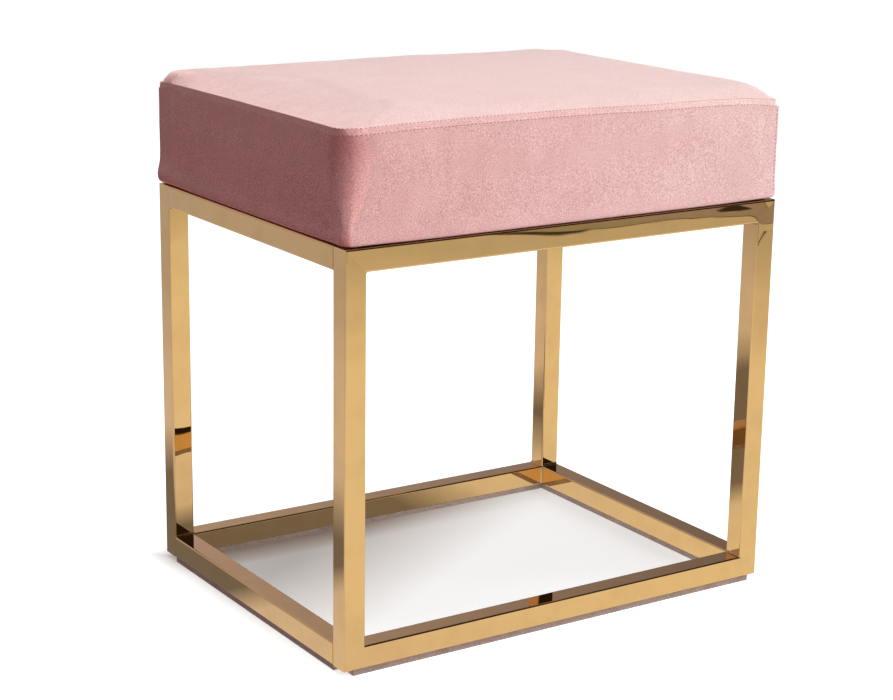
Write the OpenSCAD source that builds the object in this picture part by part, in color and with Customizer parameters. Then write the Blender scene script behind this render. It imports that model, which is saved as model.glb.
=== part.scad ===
// Upholstered stool: a boxed cushion screwed down on a welded frame of square tube
// Lengths are in millimetres. The stool stands on z = 0, its front faces -y and +x is its right.

/* [Frame] */
// Width of the frame along the front
frame_w = 450; // [360:5:600]
// Depth of the frame from front to back
frame_d = 340; // [280:5:480]
// Height of the frame, without the strips it stands on
frame_h = 360; // [260:5:460]
// Side of the square tube
tube = 20; // [16:1:30]
// Wall of the tube
tube_wall = 1.2; // [0.8:0.1:2]
// Outer corner radius of the tube
tube_corner_r = 1.5; // [0.5:0.1:2.5]

/* [Floor strips] */
// Thickness of the strips under the bottom rails
strip_t = 5; // [2:0.5:8]
// How far a strip stays in from the long sides of its rail
strip_inset = 1; // [0.5:0.5:4]
// How far the front and back strips stop short of the frame's corners
strip_end_inset = 9; // [4:1:30]
// Gap where a side strip ends at the front or back strip
strip_gap = 1; // [0.5:0.5:4]

/* [Corner plates] */
// Length of a corner plate along each rail
plate_side = 46; // [40:1:60]
// Thickness of a corner plate
plate_t = 3; // [2:0.5:5]
// Width left at a plate's two blunt tips
plate_tip = 8; // [4:1:14]
// Corner cut from a plate to clear the weld between the rails
plate_weld_cut = 3; // [2:0.5:6]
// How far a plate lies below the top faces of the rails
plate_drop = 1; // [0:0.5:4]
// Distance of the screw from each of the two rails
plate_hole_in = 15; // [12:1:18]

/* [Fasteners] */
// Thread diameter of the screws
screw_d = 6; // [5:0.5:8]
// Diameter of the screw's button head
head_d = 11; // [10:0.5:15]
// Height of the screw's button head
head_h = 3.3; // [2.5:0.1:4.5]
// Key size of the hexagon socket
key_size = 4; // [3:0.5:5]
// Distance from the screw's end to the top of the seat board
screw_end_in = 4.3; // [3:0.1:6]
// Outer diameter of the flat washers
washer_d = 16; // [14:1:20]
// Thickness of the flat washers
washer_t = 1.6; // [1:0.1:2.5]
// Width of the spring washer's ring
spring_ring_w = 2.4; // [1.5:0.1:3]
// Thickness of the spring washers
spring_t = 1.6; // [1:0.1:2.5]
// Cut through a spring washer's ring
spring_cut = 1; // [0.5:0.1:2]
// Diameter of the T-nut's flange
tnut_flange_d = 19; // [17:0.5:24]
// Thickness of the T-nut's flange
tnut_flange_t = 1.2; // [0.8:0.1:2]
// Wall of the T-nut's barrel
tnut_wall = 1.1; // [0.8:0.1:1.5]
// Length of the T-nut's barrel below its flange
tnut_barrel_l = 9; // [6:0.5:9.5]
// Length of the four prongs below the flange
prong_l = 6; // [4:0.5:8]
// Width of a prong at the flange
prong_w = 3.2; // [2:0.2:4]

/* [Seat board] */
// Thickness of the plywood board
board_t = 15; // [12:1:18]

/* [Cushion] */
// How far the cushion's sides stand in from the frame's outer faces
seat_inset = 1; // [0:0.5:8]
// Radius of the cushion's upright corners
seat_r = 11; // [8:1:20]
// Height of the seam above the top of the frame
side_h = 92; // [70:1:120]
// Rise from the seam to the flat of the top
edge_rise = 13; // [6:1:20]
// Width of the rolled top edge
edge_roll = 15; // [8:1:30]
// Extra height of the crown in the middle of the top
crown_h = 5; // [0:0.5:15]
// How far the seam drops at the corners
corner_dip = 5; // [0:0.5:8]
// How far the sides are drawn in between the corners
draw_in = 1.5; // [0:0.25:4]
// Thickness of the velvet with its backing
velvet_t = 1.5; // [0.8:0.1:2]
// Radius with which the cover turns under the board
turn_r = 3.5; // [3:0.5:5]
// Width of cover turned under the board
turn_in = 26; // [15:1:35]
// Thickness of the wadding
wadding_t = 6; // [3:0.5:10]
// Thickness of the dust cover
dust_t = 0.6; // [0.4:0.1:1.5]
// How far the dust cover's edge stays in from the cushion's sides
dust_inset = 12; // [6:1:14]

/* [Clearances] */
// Gap between the cushion's layers and round the board
soft_gap = 0.3; // [0.2:0.05:0.5]
// Radial gap between screw and thread, and round the T-nut in the board
fit_gap = 0.05; // [0.05:0.01:0.1]
// Radial gap round the screw in plates, washers and cloth
hole_gap = 0.4; // [0.2:0.1:0.8]

/* [Hidden] */

$fn = 48;
LEFT = -1;
RIGHT = 1;
FRONT = -1;
BACK = 1;

GOLD = [0.86, 0.69, 0.42];
ROSE = [0.89, 0.71, 0.70];
GREY_FELT = [0.60, 0.54, 0.50];
ZINC = [0.74, 0.75, 0.77];
PLY = [0.82, 0.68, 0.48];
FOAM = [0.95, 0.90, 0.72];
WHITE_FIBRE = [0.95, 0.95, 0.93];
BLACK_CLOTH = [0.13, 0.13, 0.14];

// Levels, from the floor up
rail_low_z = strip_t + tube / 2;
frame_top_z = strip_t + frame_h;
rail_high_z = frame_top_z - tube / 2;
cover_low_z = frame_top_z + dust_t;
board_low_z = cover_low_z + velvet_t;
board_top_z = board_low_z + board_t;
seam_z = frame_top_z + side_h;
plate_top_z = frame_top_z - plate_drop;
plate_low_z = plate_top_z - plate_t;

// Outer half sizes of the cushion
half_w = frame_w / 2 - seat_inset;
half_d = frame_d / 2 - seat_inset;

// Depth of each layer below the cushion's outer face
cover_inner_g = velvet_t;
wadding_outer_g = cover_inner_g + soft_gap;
wadding_inner_g = wadding_outer_g + wadding_t;
foam_g = wadding_inner_g + soft_gap;
board_g = cover_inner_g + soft_gap;

// The four screws stand in the corner plates
screw_x = frame_w / 2 - tube - plate_hole_in;
screw_y = frame_d / 2 - tube - plate_hole_in;
screw_hole_d = screw_d + 2 * hole_gap;
washer_top_z = plate_low_z;
spring_top_z = washer_top_z - washer_t;
head_top_z = spring_top_z - spring_t;
screw_l = board_top_z - screw_end_in - head_top_z;

module at_screws() {
    for (x = [-screw_x, screw_x]) for (y = [-screw_y, screw_y])
        translate([x, y, 0]) children();
}

module ring(outer_d, inner_d, t) {
    difference() {
        cylinder(d = outer_d, h = t);
        translate([0, 0, -1]) cylinder(d = inner_d, h = t + 2);
    }
}

// Square with rounded corners, centred
module round_rect(w, d, r) {
    square([w - 2 * r, d], center = true);
    square([w, d - 2 * r], center = true);
    for (x = [-1, 1]) for (y = [-1, 1])
        translate([x * (w / 2 - r), y * (d / 2 - r)]) circle(r);
}

module tube_section() {
    bore = tube - 2 * tube_wall;
    difference() {
        round_rect(tube, tube, tube_corner_r);
        round_rect(bore, bore, max(tube_corner_r - tube_wall, 0.3));
    }
}

// Tube along x, cut square at both ends
module plain_tube(len) {
    rotate([90, 0, 90]) linear_extrude(len, center = true) tube_section();
}

// Tube along x, mitred at both ends, with its long side down
module mitred_tube(len) {
    over = 1;
    low_half = len / 2 + over;
    high_half = len / 2 - tube - over;
    intersection() {
        plain_tube(len + 4);
        rotate([90, 0, 0]) linear_extrude(tube + 2, center = true) polygon([
            [-low_half, -tube / 2 - over], [low_half, -tube / 2 - over],
            [high_half, tube / 2 + over], [-high_half, tube / 2 + over]]);
    }
}

// Legs and the front and back rails are mitred into two upright rectangles
module leg(side, face) {
    color(GOLD)
        translate([side * (frame_w - tube) / 2, face * (frame_d - tube) / 2, strip_t + frame_h / 2])
        rotate([0, -side * 90, 0]) mitred_tube(frame_h);
}

module cross_rail(face, z, flip) {
    color(GOLD) translate([0, face * (frame_d - tube) / 2, z])
        rotate([flip, 0, 0]) mitred_tube(frame_w);
}

module bottom_rail_cross(face) { cross_rail(face, rail_low_z, 0); }
module top_rail_cross(face) { cross_rail(face, rail_high_z, 180); }

// The side rails butt against the legs and tie the two rectangles together
module side_rail(side, z) {
    color(GOLD) translate([side * (frame_w - tube) / 2, 0, z])
        rotate([0, 0, 90]) plain_tube(frame_d - 2 * tube);
}

// Felt strips under the bottom rails
strip_w = tube - 2 * strip_inset;

module strip(len) {
    color(GREY_FELT) translate([-len / 2, -strip_w / 2, 0]) cube([len, strip_w, strip_t]);
}

module floor_strip_cross(face) {
    translate([0, face * (frame_d - tube) / 2, 0]) strip(frame_w - 2 * strip_end_inset);
}

module floor_strip_side(side) {
    reach = frame_d - 2 * (tube - strip_inset) - 2 * strip_gap;
    translate([side * (frame_w - tube) / 2, 0, 0]) rotate([0, 0, 90]) strip(reach);
}

// Corner plate, drawn in the frame's inner front left corner
module plate_outline() {
    difference() {
        polygon([
            [plate_weld_cut, 0], [plate_side, 0], [plate_side, plate_tip],
            [plate_tip, plate_side], [0, plate_side], [0, plate_weld_cut]]);
        translate([plate_hole_in, plate_hole_in]) circle(d = screw_hole_d);
    }
}

module corner_plate(side, face) {
    color(GOLD) scale([-side, -face, 1])
        translate([tube - frame_w / 2, tube - frame_d / 2, plate_low_z])
        linear_extrude(plate_t) plate_outline();
}

// Screw with its head below, the hexagon socket open downwards
module screw() {
    socket_depth = head_h * 0.6;
    rim = head_h * 0.3;
    difference() {
        union() {
            translate([0, 0, -head_h]) rotate_extrude() polygon([
                [0, 0], [head_d * 0.3, 0], [head_d * 0.44, head_h - rim - head_h * 0.3],
                [head_d / 2, head_h - rim], [head_d / 2, head_h], [0, head_h]]);
            cylinder(d = screw_d, h = screw_l - screw_d / 6);
            translate([0, 0, screw_l - screw_d / 6]) cylinder(h = screw_d / 6, d1 = screw_d, d2 = screw_d * 0.7);
        }
        translate([0, 0, -head_h - 1])
            cylinder(d = key_size / cos(30), h = socket_depth + 1, $fn = 6);
    }
}

module seat_screws() {
    color(ZINC) at_screws() translate([0, 0, head_top_z]) screw();
}

module spring_washers() {
    inner = screw_d + 2 * hole_gap;
    outer = inner + 2 * spring_ring_w;
    color(ZINC) at_screws() translate([0, 0, head_top_z]) difference() {
        ring(outer, inner, spring_t);
        translate([outer / 2, 0, spring_t / 2]) rotate([20, 0, 0])
            cube([outer, spring_cut, 4 * spring_t], center = true);
    }
}

module flat_washers() {
    color(ZINC) at_screws() translate([0, 0, spring_top_z])
        ring(washer_d, screw_hole_d, washer_t);
}

// Prong of a T-nut, or its slit in the board when grown
module prong(grow) {
    thick = tnut_flange_t + grow;
    half = prong_w / 2 + grow / 2;
    translate([0, tnut_flange_d / 2 - tnut_flange_t / 2, 0])
        rotate([90, 0, 0]) linear_extrude(thick, center = true)
        polygon([[-half, 0], [-half / 4, -prong_l - grow], [half / 4, -prong_l - grow], [half, 0]]);
}

tnut_barrel_d = screw_d + 2 * (fit_gap + tnut_wall);

module t_nut() {
    bore = screw_d + 2 * fit_gap;
    flange_low = -tnut_flange_t;
    translate([0, 0, flange_low]) ring(tnut_flange_d, bore, tnut_flange_t);
    translate([0, 0, flange_low - tnut_barrel_l]) ring(tnut_barrel_d, bore, tnut_barrel_l);
    for (a = [45 : 90 : 315]) rotate(a) translate([0, -tnut_flange_t / 2, flange_low]) prong(0);
}

module t_nuts() {
    color(ZINC) at_screws() translate([0, 0, board_top_z]) t_nut();
}

module seat_board() {
    color(PLY) difference() {
        translate([0, 0, board_low_z]) linear_extrude(board_t)
            round_rect(2 * (half_w - board_g), 2 * (half_d - board_g), seat_r - board_g);
        at_screws() translate([0, 0, board_top_z]) {
            translate([0, 0, -tnut_flange_t]) cylinder(d = tnut_flange_d + 2 * fit_gap, h = tnut_flange_t + 1);
            translate([0, 0, -board_t - 1]) cylinder(d = tnut_barrel_d + 2 * fit_gap, h = board_t + 2);
            for (a = [45 : 90 : 315]) rotate(a)
                translate([0, -tnut_flange_t / 2, -tnut_flange_t]) prong(2 * fit_gap);
        }
    }
}

module dust_cover() {
    color(BLACK_CLOTH) translate([0, 0, frame_top_z]) linear_extrude(dust_t) difference() {
        round_rect(2 * (half_w - dust_inset), 2 * (half_d - dust_inset), seat_r / 2);
        for (x = [-screw_x, screw_x]) for (y = [-screw_y, screw_y])
            translate([x, y]) circle(d = screw_hole_d);
    }
}

// Cushion outline in plan, counted round from the middle of the front right corner
ARC_STEP = 15;
SIDE_STEPS = 6;
POINTS = 4 * (SIDE_STEPS + 6);

// Side s of the outline faces 90 * s degrees. len and out are its half length and its distance out.
function outline_side(s, len, out, r, pull) = let(run = len - r, c = cos(90 * s), n = sin(90 * s)) [
    for (uv = concat(
        [for (a = [-45 : ARC_STEP : -ARC_STEP]) [-run + r * sin(a), out - r + r * cos(a)]],
        [for (i = [0 : SIDE_STEPS]) let(t = 2 * i / SIDE_STEPS - 1) [t * run, out - pull * (1 - t * t)]],
        [for (a = [ARC_STEP : ARC_STEP : 45 - ARC_STEP]) [run + r * sin(a), out - r + r * cos(a)]]))
    [uv[1] * c - uv[0] * n, uv[1] * n + uv[0] * c]];

// g is the depth of a layer below the outer face, and d the way in over the top
function outline(g, d, pull) =
    let(w = half_w - g - d, l = half_d - g - d, r = max(seat_r * (1 - d / half_d) - g, 0.5)) concat(
        outline_side(0, l, w, r, pull), outline_side(1, w, l, r, pull),
        outline_side(2, l, w, r, pull), outline_side(3, w, l, r, pull));

function share(v, whole) = min(abs(v) / whole, 1);
function corner_share(p) = pow(share(p[0], half_w) * share(p[1], half_d), 8);
function crown_share(p) = (1 - pow(share(p[0], half_w), 2)) * (1 - pow(share(p[1], half_d), 2));

// Level of the seam line, of the upper surface, and of points in between
function seam_at(p) = seam_z - corner_dip * corner_share(p);
function top_ring(g, d, rise) = [for (p = outline(g, d, draw_in * (1 - d / half_d)))
    [p[0], p[1], seam_at(p) + rise - g + crown_h * crown_share(p)]];
function side_ring(g, low, f) = [for (p = outline(g, 0, draw_in * f))
    [p[0], p[1], low + f * (seam_at(p) - g + crown_h * crown_share(p) - low)]];
function flat_ring(g, z) = [for (p = outline(g, 0, 0)) [p[0], p[1], z]];
function top_middle(g) = [0, 0, seam_z + edge_rise - g + crown_h];

// Rings over the rolled edge and then inwards to the middle
ROLL_ANGLES = [0, 22.5, 45, 67.5, 90];
FLAT_SHARES = [0.3, 0.6, 0.85];
function top_rings(g) = concat(
    [for (a = ROLL_ANGLES) top_ring(g, edge_roll * (1 - cos(a)), edge_rise * sin(a))],
    [for (f = FLAT_SHARES) top_ring(g, edge_roll + f * (half_d - edge_roll), edge_rise)]);
SIDE_SHARES = [0, 0.35, 0.7];
function side_rings(g, low) = [for (f = SIDE_SHARES) side_ring(g, low, f)];

function flipped(list) = [for (i = [len(list) - 1 : -1 : 0]) list[i]];
function joined(lists) = [for (l = lists) each l];

// Triangles between ring k and the next, n points round each
function wall_faces(k, n, round) = [for (i = [0 : n - (round ? 1 : 2)])
    let(a = k * n + i, b = k * n + (i + 1) % n) each [[a, a + n, b + n], [a, b + n, b]]];

// Closed skin through a stack of rings, with a fan to a point at its last end.
// Its first end is a fan to a point too, or a flat face.
module skin(rings, last, first) {
    n = len(rings[0]);
    rows = len(rings);
    top = rows * n;
    points = concat(joined(rings), [last], is_undef(first) ? [] : [first]);
    low_cap = is_undef(first) ? [[for (i = [0 : n - 1]) i]]
        : [for (i = [0 : n - 1]) [i, (i + 1) % n, top + 1]];
    walls = [for (k = [0 : rows - 2]) each wall_faces(k, n, true)];
    high_cap = [for (i = [0 : n - 1]) [(rows - 1) * n + (i + 1) % n, (rows - 1) * n + i, top]];
    polyhedron(points, concat(low_cap, walls, high_cap), convexity = 6);
}

// Layer of even thickness: an inner stack of rings from its middle down, then the outer one up again
module shell(outer, inner, outer_middle, inner_middle) {
    skin(concat(flipped(inner), outer), outer_middle, inner_middle);
}

module foam_block() {
    color(FOAM) skin(concat(side_rings(foam_g, board_top_z), top_rings(foam_g)), top_middle(foam_g));
}

module wadding() {
    low = board_top_z + soft_gap;
    color(WHITE_FIBRE) shell(
        concat(side_rings(wadding_outer_g, low), top_rings(wadding_outer_g)),
        concat(side_rings(wadding_inner_g, low), top_rings(wadding_inner_g)),
        top_middle(wadding_outer_g), top_middle(wadding_inner_g));
}

module cover_top_panel() {
    color(ROSE) shell(top_rings(0), top_rings(cover_inner_g), top_middle(0), top_middle(cover_inner_g));
}

// Side band from the turned-under edge, round the board's lower edge and up to the seam, then back inside.
// It covers half of the outline, from one corner seam to the other.
TURN_ANGLES = [0, 30, 60, 90];
function seam_rim(g) = [for (p = side_ring(g, board_top_z, 1)) p - [0, 0, soft_gap]];
function band_rings() = concat(
    [flat_ring(turn_in, cover_low_z)],
    [for (a = TURN_ANGLES) flat_ring(turn_r * (1 - sin(a)), cover_low_z + turn_r * (1 - cos(a)))],
    side_rings(0, board_top_z),
    [seam_rim(0), seam_rim(cover_inner_g)],
    flipped(side_rings(cover_inner_g, board_top_z)),
    [flat_ring(cover_inner_g, board_low_z), flat_ring(turn_in, board_low_z)]);

module cover_band(from) {
    n = POINTS / 2 + 1;
    rings = [for (r = band_rings()) [for (i = [0 : n - 1]) r[(from + i) % POINTS]]];
    rows = len(rings);
    walls = [for (k = [0 : rows - 2]) each wall_faces(k, n, false)];
    last_row = (rows - 1) * n;
    closing = [for (i = [0 : n - 2]) each [[last_row + i, i, i + 1], [last_row + i, i + 1, last_row + i + 1]]];
    start_cap = [[for (k = [rows - 1 : -1 : 0]) k * n]];
    end_cap = [[for (k = [0 : rows - 1]) k * n + n - 1]];
    color(ROSE) polyhedron(joined(rings), concat(walls, closing, start_cap, end_cap), convexity = 6);
}

module cover_band_back_right() { cover_band(0); }
module cover_band_front_left() { cover_band(POINTS / 2); }

leg(LEFT, FRONT);  // leg_front_left
leg(RIGHT, FRONT);  // leg_front_right
leg(LEFT, BACK);  // leg_back_left
leg(RIGHT, BACK);  // leg_back_right
bottom_rail_cross(FRONT);  // bottom_rail_front
bottom_rail_cross(BACK);  // bottom_rail_back
side_rail(LEFT, rail_low_z);  // bottom_rail_left
side_rail(RIGHT, rail_low_z);  // bottom_rail_right
top_rail_cross(FRONT);  // top_rail_front
top_rail_cross(BACK);  // top_rail_back
side_rail(LEFT, rail_high_z);  // top_rail_left
side_rail(RIGHT, rail_high_z);  // top_rail_right
floor_strip_cross(FRONT);  // floor_strip_front
floor_strip_cross(BACK);  // floor_strip_back
floor_strip_side(LEFT);  // floor_strip_left
floor_strip_side(RIGHT);  // floor_strip_right
corner_plate(LEFT, FRONT);  // corner_plate_front_left
corner_plate(RIGHT, FRONT);  // corner_plate_front_right
corner_plate(LEFT, BACK);  // corner_plate_back_left
corner_plate(RIGHT, BACK);  // corner_plate_back_right
seat_screws();
spring_washers();
flat_washers();
t_nuts();
seat_board();
foam_block();
wadding();
cover_top_panel();
cover_band_front_left();
cover_band_back_right();
dust_cover();
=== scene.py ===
# %% [markdown]
# # An upholstered ottoman on a polished box frame
# This lesson dresses a finished construction for its picture. The construction already holds every tube,
# plate, screw and layer of the stool at its real size. Our work is what the eye meets: mirror-polished gold
# metal, velvet that is pulled over a padded block, seams with their thread, and the soft light of a white
# studio. Everything is in metres, with the floor at z = 0, the front towards -y and the stool's right
# towards +x.

# %% Load the construction
import math
import random
from itertools import product

import bpy
import numpy as np
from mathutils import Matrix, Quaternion, Vector
from mathutils.geometry import tessellate_polygon


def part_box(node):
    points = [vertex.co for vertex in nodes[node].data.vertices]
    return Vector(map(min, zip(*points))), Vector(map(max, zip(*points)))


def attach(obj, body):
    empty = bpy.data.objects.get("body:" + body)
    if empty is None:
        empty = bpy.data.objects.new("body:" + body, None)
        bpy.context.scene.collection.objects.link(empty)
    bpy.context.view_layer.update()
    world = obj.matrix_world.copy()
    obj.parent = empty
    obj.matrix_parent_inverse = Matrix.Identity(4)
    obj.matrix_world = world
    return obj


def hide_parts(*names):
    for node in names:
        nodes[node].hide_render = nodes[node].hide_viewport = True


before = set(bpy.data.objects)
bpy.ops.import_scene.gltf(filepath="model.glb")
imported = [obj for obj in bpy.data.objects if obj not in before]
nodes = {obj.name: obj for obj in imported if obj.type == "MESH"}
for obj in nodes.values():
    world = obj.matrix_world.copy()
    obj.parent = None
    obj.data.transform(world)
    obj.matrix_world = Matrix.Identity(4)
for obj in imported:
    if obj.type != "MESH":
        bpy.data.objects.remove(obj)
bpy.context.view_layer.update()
scene = bpy.context.scene
MM = 0.001

# %% [markdown]
# The sizes that the looks depend on are read from the construction, so that cloth, stitches and welds stay
# seated on it if a size changes there. Only what the construction leaves open is written here as a number.

# %% Read the sizes that the looks hang on
rail_low, rail_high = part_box("top_rail_front")
TUBE = rail_high.z - rail_low.z
FRAME_TOP = rail_high.z
FRAME_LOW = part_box("bottom_rail_front")[0].z
FRAME_X, FRAME_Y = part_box("top_rail_front")[1].x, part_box("top_rail_back")[1].y

panel_low, panel_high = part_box("cover_top_panel")
band_low, band_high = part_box("cover_band_front_left")
SEAM_ABOVE_BAND = 0.25 * MM
COVER_X = (panel_high.x - panel_low.x) / 2
COVER_Y = (panel_high.y - panel_low.y) / 2
COVER_LOW = band_low.z
SEAM_LINE = band_high.z + SEAM_ABOVE_BAND
COVER_TOP = panel_high.z
print("cushion half sizes in mm", round(COVER_X / MM, 1), round(COVER_Y / MM, 1))
print("seam at", round(SEAM_LINE / MM, 1), "mm")

# %% [markdown]
# ## The camera
# The photograph was taken with a long lens from the stool's left front, a little above it. A long lens
# keeps the far legs nearly as large as the near ones. The focal length in pixels and the angles come from
# fitting the corners of the frame in the photograph, and Blender wants the same focal length in millimetres
# on a 36 mm sensor.

# %% Place the camera
IMAGE_WIDTH = 893
FOCAL_PIXELS = 2083.1
SENSOR = 36.0
VIEW_AZIMUTH, VIEW_ELEVATION, VIEW_ROLL = (math.radians(a) for a in (-33.232, 14.882, 0.856))
VIEW_DISTANCE = 1929.7 * MM
VIEW_TARGET = Vector((-16.8, 0, 217.0)) * MM


def direction(azimuth, elevation):
    """Unit vector from the stool towards a viewer at these angles, in radians."""
    level = math.cos(elevation)
    return Vector((math.sin(azimuth) * level, -math.cos(azimuth) * level, math.sin(elevation)))


camera = bpy.data.objects.new("camera", bpy.data.cameras.new("camera"))
scene.collection.objects.link(camera)
scene.camera = camera
camera.data.sensor_width = SENSOR
camera.data.lens = FOCAL_PIXELS * SENSOR / IMAGE_WIDTH
to_viewer = direction(VIEW_AZIMUTH, VIEW_ELEVATION)
camera.location = VIEW_TARGET + to_viewer * VIEW_DISTANCE
camera.rotation_mode = "QUATERNION"
camera.rotation_quaternion = (-to_viewer).to_track_quat("-Z", "Y") @ Quaternion((0, 0, 1), VIEW_ROLL)
print("lens", round(camera.data.lens, 2), "mm, camera at", [round(v, 3) for v in camera.location])

# %% [markdown]
# ## Shader networks with less typing
# Every finish below is a network of shader nodes. This small helper adds a node, fills in its plain values
# and links the sockets that are passed to it, so that a network reads from top to bottom like a recipe.


# %% A helper for shader networks
class Network:
    """A shader tree with short ways to add, fill and link nodes."""

    def __init__(self, tree):
        self.tree = tree

    def fill(self, node, inputs):
        """inputs maps a socket's name or number to a value, or to another node's output, which is linked."""
        for key, value in inputs.items():
            if isinstance(value, bpy.types.NodeSocket):
                self.tree.links.new(value, node.inputs[key])
            else:
                node.inputs[key].default_value = value
        return node

    def add(self, kind, inputs=None, **settings):
        node = self.tree.nodes.new("ShaderNode" + kind)
        for name, value in settings.items():
            setattr(node, name, value)
        return self.fill(node, inputs or {})

    def math(self, operation, first, second=0.0, third=0.0):
        return self.add("Math", {0: first, 1: second, 2: third}, operation=operation).outputs[0]

    def times(self, first, second):
        return self.math("MULTIPLY", first, second)

    def minus(self, first, second):
        return self.math("SUBTRACT", first, second)

    def along(self, x, y, way):
        """How far the point x, y lies along a level direction."""
        return self.math("ADD", self.times(x, way[0]), self.times(y, way[1]))

    def spread(self, value, low, high, new_low=0.0, new_high=1.0):
        """Stretches the values from low to high over a new range, and cuts off what lies outside."""
        return self.add("MapRange", {0: value, 1: low, 2: high, 3: new_low, 4: new_high}).outputs[0]

    def hill(self, value, rise, fall):
        """The lower of two spreads, one that grows along the value and one that shrinks."""
        return self.math("MINIMUM", self.spread(value, *rise), self.spread(value, *fall))

    def between(self, share, first, second):
        """Number between first and second."""
        return self.add("Mix", {0: share, 2: first, 3: second}).outputs[0]

    def blend(self, share, first, second):
        """Colour between first and second."""
        return self.add("Mix", {0: share, 6: first, 7: second}, data_type="RGBA").outputs[2]

    def tinted(self, base, tint):
        """One colour times another."""
        sockets = {0: 1.0, 6: base, 7: tint}
        return self.add("Mix", sockets, data_type="RGBA", blend_type="MULTIPLY").outputs[2]

    def grey(self, level):
        return self.add("CombineColor", {0: level, 1: level, 2: level}).outputs[0]

    def noise(self, vector, scale, detail=2.0, roughness=0.5):
        sockets = {"Vector": vector, "Scale": scale, "Detail": detail, "Roughness": roughness}
        return self.add("TexNoise", sockets).outputs["Fac"]

    def own(self):
        """The surface's own coordinates in metres."""
        return self.add("TexCoord").outputs["Object"]

    def place(self, stretch=(1, 1, 1), shift=(0, 0, 0)):
        """The surface's own coordinates, stretched along the axes and shifted."""
        return self.add("Mapping", {"Vector": self.own(), "Scale": stretch, "Location": shift}).outputs[0]

    def parts(self, vector):
        """The x, y and z of a vector."""
        return self.add("SeparateXYZ", {0: vector}).outputs[:]

    def bump(self, strength, distance, height):
        """The way the surface faces, with this height pressed into it."""
        return self.add("Bump", {"Strength": strength, "Distance": distance, "Height": height}).outputs[0]


def new_network(owner):
    """An empty shader tree on a material or on the world."""
    owner.use_nodes = True
    owner.node_tree.nodes.clear()
    return Network(owner.node_tree)


def new_material(name, values=None):
    """A material with its network and its Principled shader. The values are the same all over."""
    material = bpy.data.materials.new(name)
    net = new_network(material)
    shader = net.add("BsdfPrincipled", values)
    net.add("OutputMaterial", {"Surface": shader.outputs[0]})
    return material, net, shader


def new_group(name, inputs, outputs):
    """A shader node group, with a list of (socket name, kind of socket) for each side."""
    tree = bpy.data.node_groups.new(name, "ShaderNodeTree")
    for side, sockets in (("INPUT", inputs), ("OUTPUT", outputs)):
        for socket_name, kind in sockets:
            tree.interface.new_socket(socket_name, in_out=side, socket_type="NodeSocket" + kind)
    return Network(tree), tree.nodes.new("NodeGroupInput").outputs, tree.nodes.new("NodeGroupOutput")


def colour(red, green, blue):
    return (red, green, blue, 1.0)


WHITE = colour(1, 1, 1)
print("helpers for shaders ready")

# %% [markdown]
# ## Meshes with less typing
# Every piece that is made here starts as a list of points and a list of faces, which is the plainest way to
# build a mesh in code. What comes in many small copies, such as stitches, staples and welds, is joined into
# one mesh. A thin sheet gets its thickness from a modifier, and another one keeps the shading of its sharp
# edges crisp.


# %% Helpers for meshes
def mesh_object(name, points, faces):
    mesh = bpy.data.meshes.new(name)
    mesh.from_pydata([tuple(p) for p in points], [], [tuple(f) for f in faces])
    thing = bpy.data.objects.new(name, mesh)
    scene.collection.objects.link(thing)
    return thing


def joined(parts):
    """One list of points and one of faces, from parts that each have their own two lists."""
    points, faces = [], []
    for new_points, new_faces in parts:
        faces += [tuple(len(points) + k for k in face) for face in new_faces]
        points += new_points
    return points, faces


def thicken(thing, thickness, offset=-1):
    """Makes a skin this thick, inwards with the offset -1 and outwards with 1."""
    body = thing.modifiers.new("thickness", "SOLIDIFY")
    body.thickness, body.offset = thickness, offset


def split_edges(thing, degrees):
    """Stops smooth shading at edges that turn by more than this."""
    sharp = thing.modifiers.new("sharp_edges", "EDGE_SPLIT")
    sharp.split_angle = math.radians(degrees)


print("helpers for meshes ready")

# %% [markdown]
# ## The studio
# The stool stood on a white sweep with one large soft light at its right front. The right side of
# everything is bright, the left side falls into shade, and polished metal shows what stands opposite each
# face: the lit floor in the front faces, the dimmer floor behind the stool in the left faces, and the dark
# room in the faces that look up. For the camera the room is plain white, and the floor glows white round the
# stool, with a painted shade of the stool inside the frame, a painted shadow just behind the rails and a
# faint painted grey just round the frame. For the light that falls on the stool, and for what the metal
# mirrors, they keep the brightness of the studio, and the mirrored paper carries painted light that fades
# away from the stool, a painted shadow of the stool and a painted shadow along its front edge. Where a value
# changes over a stretch of floor, a tuple gives the ramp: from where, to where and the two values there. A
# tuple of two numbers goes from 0 to 1.

# %% The stool's painted shade on the paper
PAPER = ((-2.4, -2.33), (2.0, -1.43), (2.0, 2.6), (-2.4, 2.6))
OUTSIDE_RAMP = (-15 * MM, 20 * MM)
SHADE_WAY, SHADE_RAMP = (-0.6, 1.0), (0.0, 0.17)
# Painted shadow just behind the rails: it takes up to this share of the paper's light and glow away.
RAIL_SHADOW = 0.6
RAIL_SHADOW_RAMP = (-TUBE - 40 * MM, -TUBE, 0.0, RAIL_SHADOW)


def paper_masks(net, x, y):
    """How far past the frame a point lies, and masks: outside it, the stool's painted shade, and the painted
    shadow just behind a rail.
    """
    past_x = net.minus(net.math("ABSOLUTE", x), FRAME_X)
    past_y = net.minus(net.math("ABSOLUTE", y), FRAME_Y)
    past = net.math("MAXIMUM", past_x, past_y)
    outside = net.spread(past, *OUTSIDE_RAMP)
    shade = net.times(net.spread(net.along(x, y, SHADE_WAY), *SHADE_RAMP), net.minus(1.0, outside))
    return past, outside, shade, net.times(net.spread(past_y, *RAIL_SHADOW_RAMP), shade)


print("paper with corners at", PAPER)

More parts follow.
